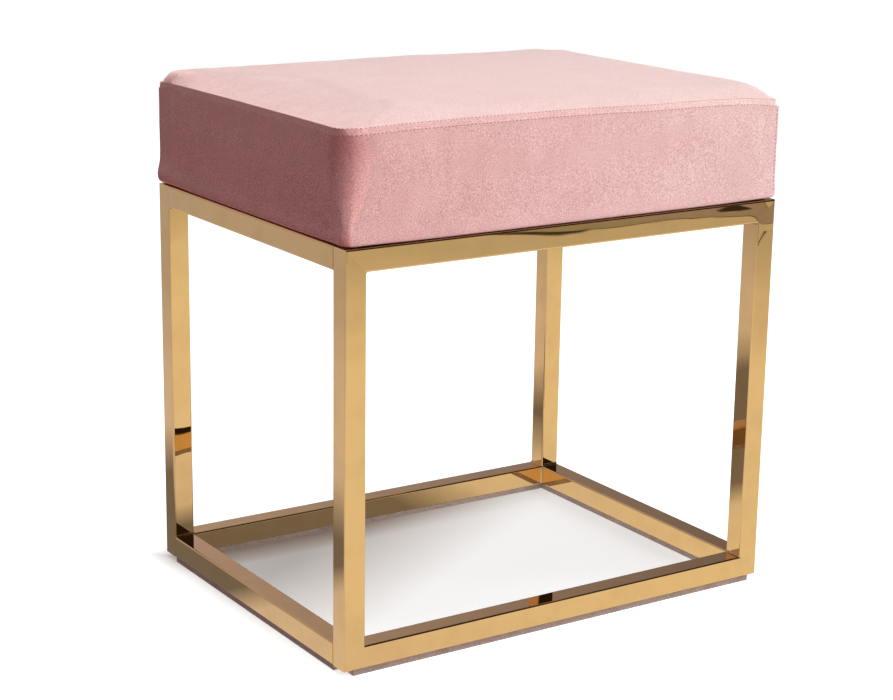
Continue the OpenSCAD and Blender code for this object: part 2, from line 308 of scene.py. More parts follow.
# %% The paper in the metal's mirror
MIRROR_WAY, IN_FRONT_RAMP = (0.55, -0.84), (-0.2, 0.2)
# Painted light: the mirrored paper is brightest near the stool and darker far from it.
FRONT_MIRRORED, BACK_MIRRORED = (1.0, 1.75, 0.91, 0.60), (0.85, 1.4, 0.73, 0.55)
FRONT_TINT, BACK_TINT, BARE_TINT = colour(1.02, 1.0, 0.94), colour(1.0, 0.97, 1.08), colour(1.0, 0.98, 0.88)
# Painted shadow of the stool on the mirrored paper, behind it and a little to the left.
SHADOW_X, SHADOW_ACROSS = -0.17, (0.22, 0.32, 1.0, 0.0)
SHADOW_START, SHADOW_END, SHADOW_MIRRORED = (0.0, 0.06), (0.56, 0.40), 0.71
EDGE_BACK, EDGE_RAMP = 20 * MM, (-1 * MM, 1 * MM)
BAY_START, BAY_END = (0.92, 1.05, 0, 38 * MM), (1.05, 1.24, 35 * MM, -9 * MM)
# Painted shadow along the paper's front edge: the mirrored paper falls to a tenth, widest near x = 1 m.
EDGE_SHADOW_START, EDGE_SHADOW_END = (0.90, 0.97, 3 * MM, 42 * MM), (1.0, 1.08, 42 * MM, 5 * MM)
EDGE_SHADOW_RAMP = (0.7, 1.2, 0.10, 1.0)
BARE_FLOOR_MIRRORED = 0.35


def mirrored_paper(net, own):
    """Brightness and tint of the floor in the metal's mirror: painted light on the paper in front and
    behind that fades away from the stool, a painted shadow of the stool, the paper's front edge with its bay
    and a painted shadow along it, and the bare floor beyond."""
    x, y, _ = net.parts(own)
    in_front = net.spread(net.along(x, y, MIRROR_WAY), *IN_FRONT_RAMP)
    from_stool = net.add("VectorMath", {0: own}, operation="LENGTH").outputs["Value"]
    behind, ahead = net.spread(from_stool, *BACK_MIRRORED), net.spread(from_stool, *FRONT_MIRRORED)
    across = net.spread(net.math("ABSOLUTE", net.minus(x, SHADOW_X)), *SHADOW_ACROSS)
    shadow = net.times(across, net.hill(y, SHADOW_START, SHADOW_END))
    paper = net.times(
        net.between(in_front, behind, ahead), net.math("MULTIPLY_ADD", shadow, -SHADOW_MIRRORED, 1.0))
    (x0, y0), (x1, y1) = PAPER[:2]
    slope = (y1 - y0) / (x1 - x0)
    from_edge = net.minus(y, net.math("MULTIPLY_ADD", x, slope, y0 - slope * x0 + EDGE_BACK))
    from_edge = net.minus(from_edge, net.hill(x, BAY_START, BAY_END))
    edge_shadow = net.spread(net.math("DIVIDE", from_edge, net.hill(x, EDGE_SHADOW_START, EDGE_SHADOW_END)), *EDGE_SHADOW_RAMP)
    on_paper = net.spread(from_edge, *EDGE_RAMP)
    level = net.between(on_paper, BARE_FLOOR_MIRRORED, net.times(paper, edge_shadow))
    return level, net.blend(on_paper, BARE_TINT, net.blend(in_front, BACK_TINT, FRONT_TINT))


print("paper's front edge bends and curls between x =", EDGE_SHADOW_START[0], "and", BAY_END[1])

# %% The paper floor
PAPER_LIT, PAPER_SEEN = 0.60, 0.70
SHADE_TINT, SEEN_TINT = colour(1.0, 0.58, 0.59), colour(0.95, 1.04, 1.04)
# Painted shade colours: brown in the painted shadow behind the rails, warm in the stool's painted shade, and
# cool round the frame. The camera's glow drops into the painted shade inside the frame, and outside it rises
# from a painted grey to white within 13 cm.
RAIL_SHADOW_TINT = colour(1.05, 0.84, 0.68)
SHADE_COLOUR, OUTSIDE_COLOUR = colour(1.0, 0.90, 0.80), colour(0.94, 1.0, 1.01)
INSIDE_GLOW, OUTSIDE_GLOW = (0.0, 1.0, 0.63, 0.165), (0.0, 0.13, 0.78, 1.0)
INSIDE_BOUNCE = (-5 * MM, 5 * MM, 1.25, 0.0)
LEFT_BOUNCE, LEFT_RAMP = (20 * MM, 60 * MM, 0.5, 0.0), (-0.2, -0.24)


def make_floor():
    """Paper that the lamps light. A glow is added to it: the white that the camera sees, with the stool's
    painted shade inside the frame and a painted shadow behind the rails, the brightness that the metal
    mirrors, and for the light that spreads, what bright paper throws up at the frame."""
    floor = mesh_object("paper", [(x, y, 0) for x, y in PAPER], [(0, 1, 2, 3)])
    material = bpy.data.materials.new("paper_white")
    floor.data.materials.append(material)
    net = new_network(material)
    rays = net.add("LightPath").outputs

    def by_ray(other, when_mirrored, when_seen):
        """A value for the light that spreads, another in the metal's mirror, and another for the camera."""
        value = net.between(rays["Is Glossy Ray"], other, when_mirrored)
        return net.between(rays["Is Camera Ray"], value, when_seen)

    own = net.own()
    x, y, _ = net.parts(own)
    past, outside, shade, rail_shadow = paper_masks(net, x, y)
    # Painted shadow behind the rails: it darkens the lit paper and the camera's glow, and browns the tint.
    unshaded = net.minus(1.0, rail_shadow)
    tint = net.blend(net.times(rail_shadow, 1 / RAIL_SHADOW), SEEN_TINT, RAIL_SHADOW_TINT)
    tint = net.blend(rays["Is Diffuse Ray"], tint, SHADE_TINT)
    lit = net.grey(by_ray(PAPER_LIT, 0.0, net.times(unshaded, PAPER_SEEN)))
    diffuse = net.add("BsdfDiffuse", {"Color": net.tinted(lit, tint)}).outputs[0]
    # Painted shade for the camera: the glow drops in the stool's shade, and is a painted grey round the
    # frame.
    seen = net.times(net.spread(shade, *INSIDE_GLOW), unshaded)
    seen = net.between(outside, seen, net.spread(past, *OUTSIDE_GLOW))
    seen_tint = net.blend(outside, net.blend(shade, WHITE, SHADE_COLOUR), OUTSIDE_COLOUR)
    mirrored, mirrored_tint = mirrored_paper(net, own)
    inside = net.times(net.spread(past, *INSIDE_BOUNCE), net.minus(1.0, shade))
    on_left = net.times(net.spread(past, *LEFT_BOUNCE), net.spread(x, *LEFT_RAMP))
    glow = net.add("Emission", {
        "Color": net.blend(rays["Is Camera Ray"], mirrored_tint, seen_tint),
        "Strength": by_ray(net.math("MAXIMUM", inside, on_left), mirrored, seen)}).outputs[0]
    net.add("OutputMaterial", {"Surface": net.add("AddShader", {0: diffuse, 1: glow}).outputs[0]})


make_floor()
print("floor ready")

# %% Painted dark marks that only the metal mirrors
DARK_STRIPS = (
    ((1.375, -1.585), (1.45, -1.597), 6 * MM, 32 * MM), ((1.38, -1.46), (1.198, -1.275), 1.6 * MM, 0.5 * MM))


def make_reflected_dark_strips():
    """Dark strips on the floor far in front, which taper from end to end: painted dark marks in the metal's
    reflection.
    """
    parts = []
    for start, end, first, last in DARK_STRIPS:
        aside = Vector((start[1] - end[1], end[0] - start[0], 0)).normalized()
        ends = (Vector((*start, 1 * MM)), first), (Vector((*end, 1 * MM)), last)
        parts.append(([at + aside * half * side for at, half in ends for side in (-1, 1)], [(0, 2, 3, 1)]))
    reflected_dark_strips = mesh_object("reflected_dark_strips", *joined(parts))
    reflected_dark_strips.data.materials.append(new_material("painted_dark_reflection", {"Base Color": colour(0.02, 0.015, 0.01)})[0])
    # Hidden from the camera, from the spreading light and from shadows: only the metal's reflection shows
    # them.
    reflected_dark_strips.visible_camera = reflected_dark_strips.visible_diffuse = reflected_dark_strips.visible_shadow = False


make_reflected_dark_strips()
print("dark strips:", len(DARK_STRIPS))

# %% The room
ROOM_LEVEL = 0.18
DARK_WAY, DARK_END = (0.84, -0.55), (0.35, 0.6, 1.0, 0.15)
WALL_MIRRORED, WALL_SLOPE, WALL_LEAST, WALL_MOST = 0.33, 0.99, 0.16, 0.50
WALL_TINT = colour(1.06, 0.95, 1.08)
HORIZON = 0.02


def make_room():
    """White for the camera and dim for the spreading light. In the metal's mirror, the wall gets darker from
    the left back to the right front, and the bare floor round the paper is dark too."""
    world = bpy.data.worlds.new("room")
    scene.world = world
    net = new_network(world)
    rays = net.add("LightPath").outputs
    x, y, z = net.parts(net.add("TexCoord").outputs["Generated"])
    darker = net.along(x, y, DARK_WAY)
    wall = net.math("MULTIPLY_ADD", darker, -WALL_SLOPE, WALL_MIRRORED)
    wall = net.add("Clamp", {0: wall, 1: WALL_LEAST, 2: WALL_MOST}).outputs[0]
    wall = net.times(wall, net.spread(darker, *DARK_END))
    mirrored = net.spread(z, -HORIZON, HORIZON, BARE_FLOOR_MIRRORED, wall)
    level = net.between(rays["Is Glossy Ray"], ROOM_LEVEL, mirrored)
    level = net.between(rays["Is Camera Ray"], level, 1.0)
    tint = net.blend(rays["Is Diffuse Ray"], net.blend(rays["Is Glossy Ray"], WHITE, WALL_TINT), SHADE_TINT)
    back = net.add("Background", {"Color": tint, "Strength": level}).outputs[0]
    net.add("OutputWorld", {"Surface": back})


make_room()
scene.view_settings.view_transform = "Standard"
print("room ready, level", ROOM_LEVEL)

# %% The lamps
KEY_AZIMUTH, KEY_ELEVATION = math.radians(36), math.radians(20)
KEY_DISTANCE, KEY_SIZE, KEY_POWER = 3.2, 2.6, 97.0
TOP_PLACE, TOP_SIZE, TOP_POWER = Vector((-0.15, -0.2, 2.2)), 1.0, 27.0


def make_lamp(name, place, aim, size, power):
    """A soft lamp that lights everything but isn't seen in the metal's mirror."""
    lamp = bpy.data.lights.new(name, "AREA")
    lamp.shape = "SQUARE"
    lamp.size = size
    lamp.energy = power
    thing = bpy.data.objects.new(name, lamp)
    thing.location = place
    thing.rotation_mode = "QUATERNION"
    thing.rotation_quaternion = (aim - place).to_track_quat("-Z", "Y")
    thing.visible_glossy = False
    scene.collection.objects.link(thing)


middle = Vector((0, 0, COVER_TOP / 2))
key_place = middle + direction(KEY_AZIMUTH, KEY_ELEVATION) * KEY_DISTANCE
make_lamp("key_light", key_place, middle, KEY_SIZE, KEY_POWER)
make_lamp("top_light", TOP_PLACE, middle, TOP_SIZE, TOP_POWER)
print("lamps ready, in watts", KEY_POWER, "and", TOP_POWER)

# %% [markdown]
# ## Finishes that share an effect
# Two effects come back in several finishes. The first is polished metal: it is never quite flat, so a
# mirrored line wanders a little, and it carries fine marks along the way it was polished. The second is
# fibre: velvet, felt, wadding and lining are all masses of short hairs that catch the light as tiny light
# and dark specks. Each effect is a node group that is built once and placed with its own values.

# %% Shader group for polished metal
WAVE_SCALE, MARK_SCALE, SMEAR_SCALE = 22.0, 1100.0, 30.0
MARK_RAMP, SMEAR_RAMP = (0.5, 0.8), (0.45, 0.75)


def make_polish_group():
    """Marks runs along the polishing, Wave Height bends the mirror, and Worn dulls it in places."""
    net, given, result = new_group(
        "polished_metal",
        [("Place", "Vector"), ("Marks", "Vector"), ("Wave Height", "Float"), ("Smooth", "Float"),
         ("Worn", "Float")],
        [("Roughness", "Float"), ("Height", "Float"), ("Tarnish", "Float")])
    wave = net.noise(given["Place"], WAVE_SCALE, 1.0, 0.35)
    marks = net.spread(net.noise(given["Marks"], MARK_SCALE, 2.0, 0.6), *MARK_RAMP)
    smears = net.spread(net.noise(given["Place"], SMEAR_SCALE, 3.0, 0.6), *SMEAR_RAMP)
    rough = net.times(net.math("ADD", marks, smears), given["Worn"])
    net.fill(result, {
        "Roughness": net.math("ADD", given["Smooth"], rough),
        "Height": net.times(wave, given["Wave Height"]),
        "Tarnish": smears})
    return result.id_data


polished_metal = make_polish_group()
print("polish group:", len(polished_metal.nodes), "nodes")


# %% Shader group for fibres
FINER, COARSE_SHARE = 2.7, 0.65
SPECK_RAMP, PATCH_RAMP = (0.41, 0.59), (0.3, 0.7)


def make_fibre_group():
    """Grain is how fine the single fibres are, and Mottle how fine the patches in which they lean one way."""
    net, given, result = new_group(
        "fibre_grain",
        [("Place", "Vector"), ("Grain", "Float"), ("Mottle", "Float")],
        [("Specks", "Float"), ("Patches", "Float"), ("Height", "Float")])
    coarse = net.noise(given["Place"], given["Grain"], 2.0, 0.65)
    fine = net.noise(given["Place"], net.times(given["Grain"], FINER), 1.0, 0.5)
    specks = net.math("ADD", net.times(coarse, COARSE_SHARE), net.times(fine, 1 - COARSE_SHARE))
    patches = net.noise(given["Place"], given["Mottle"], 4.0, 0.62)
    net.fill(result, {
        "Specks": net.spread(specks, *SPECK_RAMP),
        "Patches": net.spread(patches, *PATCH_RAMP),
        "Height": specks})
    return result.id_data


fibre_grain = make_fibre_group()
print("fibre group:", len(fibre_grain.nodes), "nodes")

# %% [markdown]
# ## Gold tube
# The tube is stainless steel with a thin gold-coloured coat, polished to a mirror. A mirror takes its look
# from its surroundings, so the shader is nearly nothing: full metal, a warm base colour and very low
# roughness. What makes it real is that the tube wall isn't flat. Welding draws it in near each end, and
# mirrored edges bend there. The polishing marks run along each tube, so there is one material for each of
# the three directions.

# %% Gold for the tubes
GOLD = colour(0.80, 0.52, 0.22)
GOLD_WORN = colour(0.74, 0.47, 0.20)
GOLD_SMOOTH = 0.008
GOLD_SMEARED = 0.015
WALL_WAVE, LEG_WAVE = 0.07 * MM, 0.28 * MM
WELD_PULL = 0.12 * MM
WELD_DISH = 0.09 * MM
WELD_REACH = 42 * MM
WELD_LEFT, WELD_RIGHT = 0.45, 1.0
ALONG = 0.02
AXES_OUT = (
    (0.0, FRAME_X - TUBE / 2), (0.0, FRAME_Y - TUBE / 2),
    ((FRAME_TOP + FRAME_LOW) / 2, (FRAME_TOP - FRAME_LOW - TUBE) / 2))


def gold_tube(name, axis, shift, wave):
    """Polished gold for the tubes along one axis. AXES_OUT gives, for each axis, the stool's middle and how
    far from it the tubes' centre lines lie. The welds pull the ends in less on the left than on the right."""
    material, net, shader = new_material(name, {"Metallic": 1.0})
    marks = [1.0, 1.0, 1.0]
    marks[axis] = ALONG
    polish = net.add("Group", {
        "Place": net.place(shift=shift), "Marks": net.place(marks),
        "Wave Height": wave, "Smooth": GOLD_SMOOTH, "Worn": GOLD_SMEARED}, node_tree=polished_metal)
    own = net.parts(net.own())
    dish = 0.0
    for k, (middle, out) in enumerate(AXES_OUT):
        from_line = net.minus(net.math("ABSOLUTE", net.minus(own[k], middle)), out)
        if k == axis:
            near_end = net.math("POWER", net.spread(from_line, TUBE / 2 - WELD_REACH, TUBE / 2), 2.0)
        else:
            across = net.math("POWER", net.math("DIVIDE", from_line, TUBE / 2), 2.0)
            dish = net.math("ADD", dish, net.math("MULTIPLY_ADD", across, -WELD_DISH, WELD_DISH))
    strength = net.spread(own[0], -FRAME_X, FRAME_X, WELD_LEFT, WELD_RIGHT)
    pull = net.times(net.times(near_end, strength), net.math("ADD", dish, WELD_PULL))
    net.fill(shader, {
        "Base Color": net.blend(polish.outputs["Tarnish"], GOLD, GOLD_WORN),
        "Roughness": polish.outputs["Roughness"],
        "Normal": net.bump(1.0, 1.0, net.minus(polish.outputs["Height"], pull))})
    return material


gold_along_x = gold_tube("gold_along_x", 0, (0, 0, 0), WALL_WAVE)
gold_along_y = gold_tube("gold_along_y", 1, (3, 0, 0), WALL_WAVE)
gold_along_z = gold_tube("gold_along_z", 2, (0, 5, 0), LEG_WAVE)


def give(material, *names):
    """Gives construction nodes their finish."""
    for name in names:
        nodes[name].data.materials.clear()
        nodes[name].data.materials.append(material)


SIDES = ("left", "right")
FACES = ("front", "back")
CORNERS = [f"{face}_{side}" for face in FACES for side in SIDES]
give(gold_along_x, *[f"{level}_rail_{face}" for level in ("top", "bottom") for face in FACES])
give(gold_along_y, *[f"{level}_rail_{side}" for level in ("top", "bottom") for side in SIDES])
give(gold_along_z, *[f"leg_{corner}" for corner in CORNERS])
print("gold on", 4 + 4 + len(CORNERS), "tubes")

# %% [markdown]
# ## Hidden and half-hidden finishes
# The corner plates are gold too, but nobody polishes them: their marks are coarse and their shine is satin.
# Screws, washers and T-nuts are zinc-plated, a cool grey that is a little cloudy. The board is birch
# plywood, and its edge shows the veneers as light and dark lines. The strips under the frame are pressed
# felt.


# %% Plates and fasteners
PLATE_WAVE, PLATE_WORN = 0.05 * MM, 0.15


def plain_metal(name, base, worn, smooth, marks):
    """Metal that is satin rather than polished, with its marks stretched by the factors in marks."""
    material, net, shader = new_material(name, {"Metallic": 1.0})
    polish = net.add("Group", {
        "Place": net.place(), "Marks": net.place(marks),
        "Wave Height": PLATE_WAVE, "Smooth": smooth, "Worn": PLATE_WORN}, node_tree=polished_metal).outputs
    net.fill(shader, {
        "Base Color": net.blend(polish["Tarnish"], base, worn),
        "Roughness": polish["Roughness"], "Normal": net.bump(0.6, 1.0, polish["Height"])})
    return material


plate_gold = plain_metal("plate_gold", colour(0.70, 0.48, 0.22), colour(0.58, 0.40, 0.20), 0.25, (1, 0.05, 1))
zinc = plain_metal("zinc", colour(0.62, 0.64, 0.66), colour(0.48, 0.49, 0.50), 0.3, (1, 1, 1))
give(plate_gold, *[f"corner_plate_{corner}" for corner in CORNERS])
give(zinc, "seat_screws", "spring_washers", "flat_washers", "t_nuts")
print("metal on", len(CORNERS), "plates and 4 kinds of fastener")

# %% Plywood for the board
BIRCH_DARK, BIRCH_LIGHT = colour(0.62, 0.44, 0.25), colour(0.74, 0.56, 0.35)
GRAIN_LINE, GLUED_EDGE = colour(0.52, 0.35, 0.19), colour(0.36, 0.22, 0.12)
VENEER = 1.5 * MM
EDGE_LINE = (0.3 * VENEER, 0.7 * VENEER)
ON_EDGE = (0.7, 0.3)


def make_plywood():
    """Birch with its grain along x. Where the board's edge shows, veneers alternate light and dark."""
    material, net, shader = new_material("birch_plywood", {"Specular IOR Level": 0.4})
    grain = net.noise(net.place((0.06, 1, 1)), 900.0, 4.0, 0.65)
    bands = net.noise(net.place((0.3, 1, 1)), 45.0, 3.0, 0.6)
    veneer = net.spread(net.math("PINGPONG", net.parts(net.own())[2], VENEER), *EDGE_LINE)
    facing_up = net.parts(net.add("NewGeometry").outputs["Normal"])[2]
    on_edge = net.times(net.spread(net.math("ABSOLUTE", facing_up), *ON_EDGE), veneer)
    face = net.blend(net.spread(bands, 0.35, 0.65), BIRCH_DARK, BIRCH_LIGHT)
    face = net.blend(net.spread(grain, 0.45, 0.7), face, GRAIN_LINE)
    net.fill(shader, {
        "Base Color": net.blend(on_edge, face, GLUED_EDGE),
        "Roughness": net.spread(grain, 0.3, 0.7, 0.5, 0.75), "Normal": net.bump(0.5, 0.2 * MM, grain)})
    return material


give(make_plywood(), "seat_board")
print("veneers", VENEER / MM, "mm thick")

# %% Felt and other cloth
FIBRE_ROUGHNESS = (0.0, 1.0, 0.95, 0.8)
SPECKS_SHOWN, PATCHES_SHOWN = 0.55, 0.45


def fibre_cloth(name, dark, light, grain, mottle, depth):
    """A matt mass of fibres: dark and light are its colours, and depth is how far single fibres stand out."""
    material, net, shader = new_material(name)
    fibre = net.add("Group", {
        "Place": net.place(), "Grain": grain, "Mottle": mottle}, node_tree=fibre_grain).outputs
    specks = net.times(fibre["Specks"], SPECKS_SHOWN)
    share = net.math("MULTIPLY_ADD", fibre["Patches"], PATCHES_SHOWN, specks)
    net.fill(shader, {
        "Base Color": net.blend(share, dark, light),
        "Roughness": net.spread(fibre["Specks"], *FIBRE_ROUGHNESS),
        "Normal": net.bump(0.8, depth, fibre["Height"])})
    return material


FELT_DARK, FELT_LIGHT = colour(0.22, 0.175, 0.145), colour(0.41, 0.335, 0.28)
felt = fibre_cloth("pressed_felt", FELT_DARK, FELT_LIGHT, 700.0, 60.0, 0.4 * MM)
give(felt, *[f"floor_strip_{place}" for place in FACES + SIDES])
print("felt on", len(FACES + SIDES), "strips")

# %% [markdown]
# ## Velvet
# Velvet is a short upright pile. Light that grazes it is caught on the tips of the hairs, so its edges and
# faces that turn away are paler, which the shader calls sheen. The pile also leans this way or that where
# hands have brushed it: each patch and each stroke of a hand takes a slightly different tone. Close up, the
# tips are specks of light and dark. One plain material could make this pink, but the eye would miss the
# pile. So the colour is built in layers: specks, patches and strokes first, then painted light and shade on
# top of them: a painted shade that deepens the left face, painted light that pales each side towards the
# right while the top darkens that way, and painted shade and light on the rolled edges.

# %% The pile's specks and strokes
VELVET_DEEP, VELVET_PALE = colour(0.45, 0.13, 0.125), colour(0.92, 0.605, 0.585)
VELVET_GRAIN, VELVET_MOTTLE = 1050.0, 17.0
TIPS_SHOWN, LEANING_SHOWN = 0.80, 0.12
STROKE_SCALE, STROKE_SHIFT, STROKE_RAMP = 60.0, (0.7, 0.2, 0.4), (0.35, 0.7)
STROKE_DEPTH = (-COVER_X, 0.0, 0.16, 0.08)


def velvet_colour(net, pile, x, brushed):
    """Specks, patches, and strokes that are stretched by the factors in brushed and fade to the right."""
    strokes = net.noise(net.place(brushed, STROKE_SHIFT), STROKE_SCALE, 3.0, 0.6)
    tone = net.math("MULTIPLY_ADD", pile["Patches"], LEANING_SHOWN, net.times(pile["Specks"], TIPS_SHOWN))
    tone = net.math("MULTIPLY_ADD", net.spread(strokes, *STROKE_RAMP), net.spread(x, *STROKE_DEPTH), tone)
    return net.blend(tone, VELVET_DEEP, VELVET_PALE)


print("pile: grain", VELVET_GRAIN, "patches", VELVET_MOTTLE)

# %% Painted shade and light on the sides
# Painted light and shade from left to right: each side pales towards the lit right, and the top darkens
# there.
SIDE_PAINTED_LIGHT = colour(1.0, 0.93, 0.92), colour(1.07, 1.32, 1.31)
TOP_PAINTED_SHADE = colour(1.03, 1.03, 1.03), colour(0.88, 0.89, 0.89)
ON_TOP, OFF_TOP = (0.3, 0.7), (0.5, 0.2)
OFF_LEFT_FACE = (-0.99, -0.86)
# Painted shade: the left face is multiplied by these two colours, mixed by the specks, so it reads deeper and
# redder.
PAINTED_LEFT_SHADE_DARK, PAINTED_LEFT_SHADE_LIGHT = colour(0.42, 0.15, 0.16), colour(1.04, 0.70, 0.71)
# Painted shade: where the left face turns to the front and the back, the velvet is painted redder.
TURNING_RISE, TURNING_FALL = (-1.0, -0.92), (-0.2, -0.8)
TURN_PAINTED_TINT = colour(1.15, 0.98, 0.99)


def velvet_painted_tints(net, pile, x, facing):
    """Colours to multiply by, all painted light and shade: a painted shade that deepens the left face,
    painted light that pales each side towards the right while the top darkens that way, and a redder painted
    shade on the turn where the left face meets the front and the back."""
    facing_x, _, facing_up = facing
    off_left = net.spread(facing_x, *OFF_LEFT_FACE)
    left_painted_shade = net.blend(off_left, net.blend(pile["Specks"], PAINTED_LEFT_SHADE_DARK, PAINTED_LEFT_SHADE_LIGHT), WHITE)
    rightward = net.spread(x, -COVER_X, COVER_X)
    sides, top = net.blend(rightward, *SIDE_PAINTED_LIGHT), net.blend(rightward, *TOP_PAINTED_SHADE)
    turning = net.times(net.hill(facing_x, TURNING_RISE, TURNING_FALL), net.spread(facing_up, *OFF_TOP))
    tint = net.blend(net.spread(facing_up, *ON_TOP), sides, top)
    return [left_painted_shade, tint, net.blend(turning, WHITE, TURN_PAINTED_TINT)]


print("tints ready")

# %% Painted shade and light on the rolled edges
EDGE_FALL = (-0.85, -0.5)
FRONT_EDGE, FRONT_EDGE_PAINTED_SHADE = (-0.02, -0.22), -0.18
LEFT_EDGE, LEFT_EDGE_PAINTED_LIGHT = (-0.15, -0.35), 0.32
CORNER_RISE, CORNER_FALL = (-0.1, -0.35), (-0.97, -0.85)
CORNER_PAINTED_LIGHT = (COVER_Y - 45 * MM, COVER_Y - 15 * MM, 0.0, 0.6)


def velvet_painted_edges(net, y, facing):
    """A level to multiply by, all painted shade and light: darker where the top rolls to the front, lighter
    where it rolls to the left, and lighter still at the left's far end."""
    facing_x, facing_y, _ = facing
    level = net.math("MULTIPLY_ADD", net.hill(facing_y, FRONT_EDGE, EDGE_FALL), FRONT_EDGE_PAINTED_SHADE, 1.0)
    level = net.math("MULTIPLY_ADD", net.hill(facing_x, LEFT_EDGE, EDGE_FALL), LEFT_EDGE_PAINTED_LIGHT, level)
    corner_painted_light = net.times(net.hill(facing_x, CORNER_RISE, CORNER_FALL), net.spread(y, *CORNER_PAINTED_LIGHT))
    return net.grey(net.math("ADD", level, corner_painted_light))


print("edges: front", FRONT_EDGE_PAINTED_SHADE, "left", LEFT_EDGE_PAINTED_LIGHT, "far corner", CORNER_PAINTED_LIGHT[-1])

# %% Velvet for the cover
TOP_SHEEN, SIDE_SHEEN = 0.84, 0.71
VELVET_SHEEN = {"Sheen Roughness": 0.90, "Sheen Tint": colour(1.0, 0.98, 0.945), "Specular IOR Level": 0.1}
PILE_DEPTH = 0.8 * MM


def make_velvet(name, brushed, sheen):
    """Velvet whose strokes are stretched along the cushion's axes by the factors in brushed."""
    material, net, shader = new_material(name, {**VELVET_SHEEN, "Sheen Weight": sheen})
    pile = net.add("Group", {
        "Place": net.place(), "Grain": VELVET_GRAIN, "Mottle": VELVET_MOTTLE}, node_tree=fibre_grain).outputs
    x, y, _ = net.parts(net.own())
    facing = net.parts(net.add("NewGeometry").outputs["Normal"])
    base = velvet_colour(net, pile, x, brushed)
    # The painted light and shade of the sides and the rolled edges multiply the velvet's colour.
    for factor in velvet_painted_tints(net, pile, x, facing) + [velvet_painted_edges(net, y, facing)]:
        base = net.tinted(base, factor)
    net.fill(shader, {
        "Base Color": base, "Roughness": net.spread(pile["Patches"], *FIBRE_ROUGHNESS),
        "Normal": net.bump(0.8, PILE_DEPTH, pile["Height"])})
    return material


velvet_top_finish = make_velvet("velvet_top_finish", (0.35, 1, 1), TOP_SHEEN)
velvet_side_finish = make_velvet("velvet_side_finish", (1, 1, 0.5), SIDE_SHEEN)
print("velvet ready")

# %% [markdown]
# ## The cushion's form
# The cover is sewn from a top panel and two bands. The top is crowned over the padding, and its edge is
# lapped over the bands and sewn down with two rows of stitches, so a narrow lip stands almost upright
# before the surface bends into the top. At the bottom the bands turn round the board and are stapled out of
# sight. The form could be sculpted, or made with a subdivided box. Here it is laid out as one regular grid
# in code, because then every row is known by its number: the seam, the lip and the lower edge can each be
# shaped, and the thread can follow them. The four corners of the grid are bent into arcs, and rows hang
# down from its rim.

# %% Sizes of the cover
CORNER = 34 * MM
SMOOTH_AT_BOTTOM, SMOOTH_AT_TOP = 10 * MM, 27 * MM
SMOOTH_HEIGHTS = (0, 0.19, 0.42, 0.65, 0.85, 1)
SMOOTH_RADII = (SMOOTH_AT_BOTTOM, 11 * MM, 24 * MM, 32 * MM, 33 * MM, SMOOTH_AT_TOP)
SEWN_CORNER, LIP_ROUND = 1.0 * MM, 3.0 * MM
LIP_RISE, LIP_LEAN, LEFT_LEAN = 5.6 * MM, 1.2 * MM, 0.3 * MM
EDGE_ROLL, FRONT_ROLL, LEFT_ROLL, LEFT_BACK_ROLL = 18 * MM, 24 * MM, 60 * MM, 6.5 * MM
CROWN = 5 * MM
PLATEAU = COVER_TOP - SEAM_LINE - CROWN
SEAM_SAG, LEFT_SAG, RIGHT_SAG = 1.0 * MM, 2.2 * MM, 1.8 * MM
SAG_REACH = 80 * MM
SEAM_DIPS = (2.8 * MM, 6.0 * MM, 5.5 * MM, 3.8 * MM)
TOP_DIPS = (5.5 * MM, 5.5 * MM, 5.5 * MM, 1.5 * MM)
SETTLED = 1.2 * MM
DRAW_IN = 1.5 * MM
TURN_RADIUS = 2.0 * MM
TURN_IN = 26 * MM
BAND_LOW = COVER_LOW + TURN_RADIUS
PADDING_ROUNDER = 4 * MM
VELVET_THICKNESS = 1.3 * MM
GRID_STEP, BAND_STEP, PADDING_STEP = 6 * MM, 4.6 * MM, 9 * MM
UNDER_SEAM = [v * MM for v in (1.2, 3.0, 6.0)]
EDGE_INSETS = [v * MM for v in (0, 0.5, 1.0, 1.2, 1.6, 2.8, 4.8, 7.6, 11, 15.2, 20.4, 27)]
LEFT_INSETS = [v * MM for v in (0, 0.12, 0.25, 0.3, 0.7, 2.1, 4.4, 7.4, 11, 15.2, 20.4, 27)]
LIP_SHARES = (0, 0.42, 0.86, 1)
TOP_ROW = 3
print("rise of the rolled edge in mm", round(PLATEAU / MM, 1))


# %% Lay out the grid
def grid_lines(half, first_insets, last_insets):
    """Where the lines run across the top: close on the rolled edges, about GRID_STEP apart between them."""
    flat = half - CORNER
    count = 2 * round(flat / GRID_STEP)
    return np.concatenate([
        np.array(first_insets) - half, np.linspace(-flat, flat, count + 1),
        half - np.array(last_insets)[::-1]])


lines_x = grid_lines(COVER_X, LEFT_INSETS, EDGE_INSETS)
lines_y = grid_lines(COVER_Y, EDGE_INSETS, LEFT_INSETS)
count_x, count_y = len(lines_x), len(lines_y)
number = np.arange(count_x * count_y).reshape(count_x, count_y)
flat_x, flat_y = (a.ravel() for a in np.meshgrid(lines_x, lines_y, indexing="ij"))
flat_inset = np.minimum(COVER_X - np.abs(flat_x), COVER_Y - np.abs(flat_y))
place_i, place_j = (a.ravel() for a in np.indices((count_x, count_y)))
ring_number = np.min([place_i, count_x - 1 - place_i, place_j, count_y - 1 - place_j], axis=0)


def grid_ring(k):
    """The closed line k lines in from the rim: it starts at the front left corner and goes by the front."""
    inner = number[k:count_x - k, k:count_y - k]
    return np.concatenate([inner[:-1, 0], inner[-1, :-1], inner[:0:-1, -1], inner[0, :0:-1]])


rim = grid_ring(0)
stations = len(rim)
FRONT_RIGHT = count_x - 1
BACK_LEFT = 2 * (count_x - 1) + count_y - 1
print("grid", count_x, "x", count_y, "with", stations, "stations round the rim")


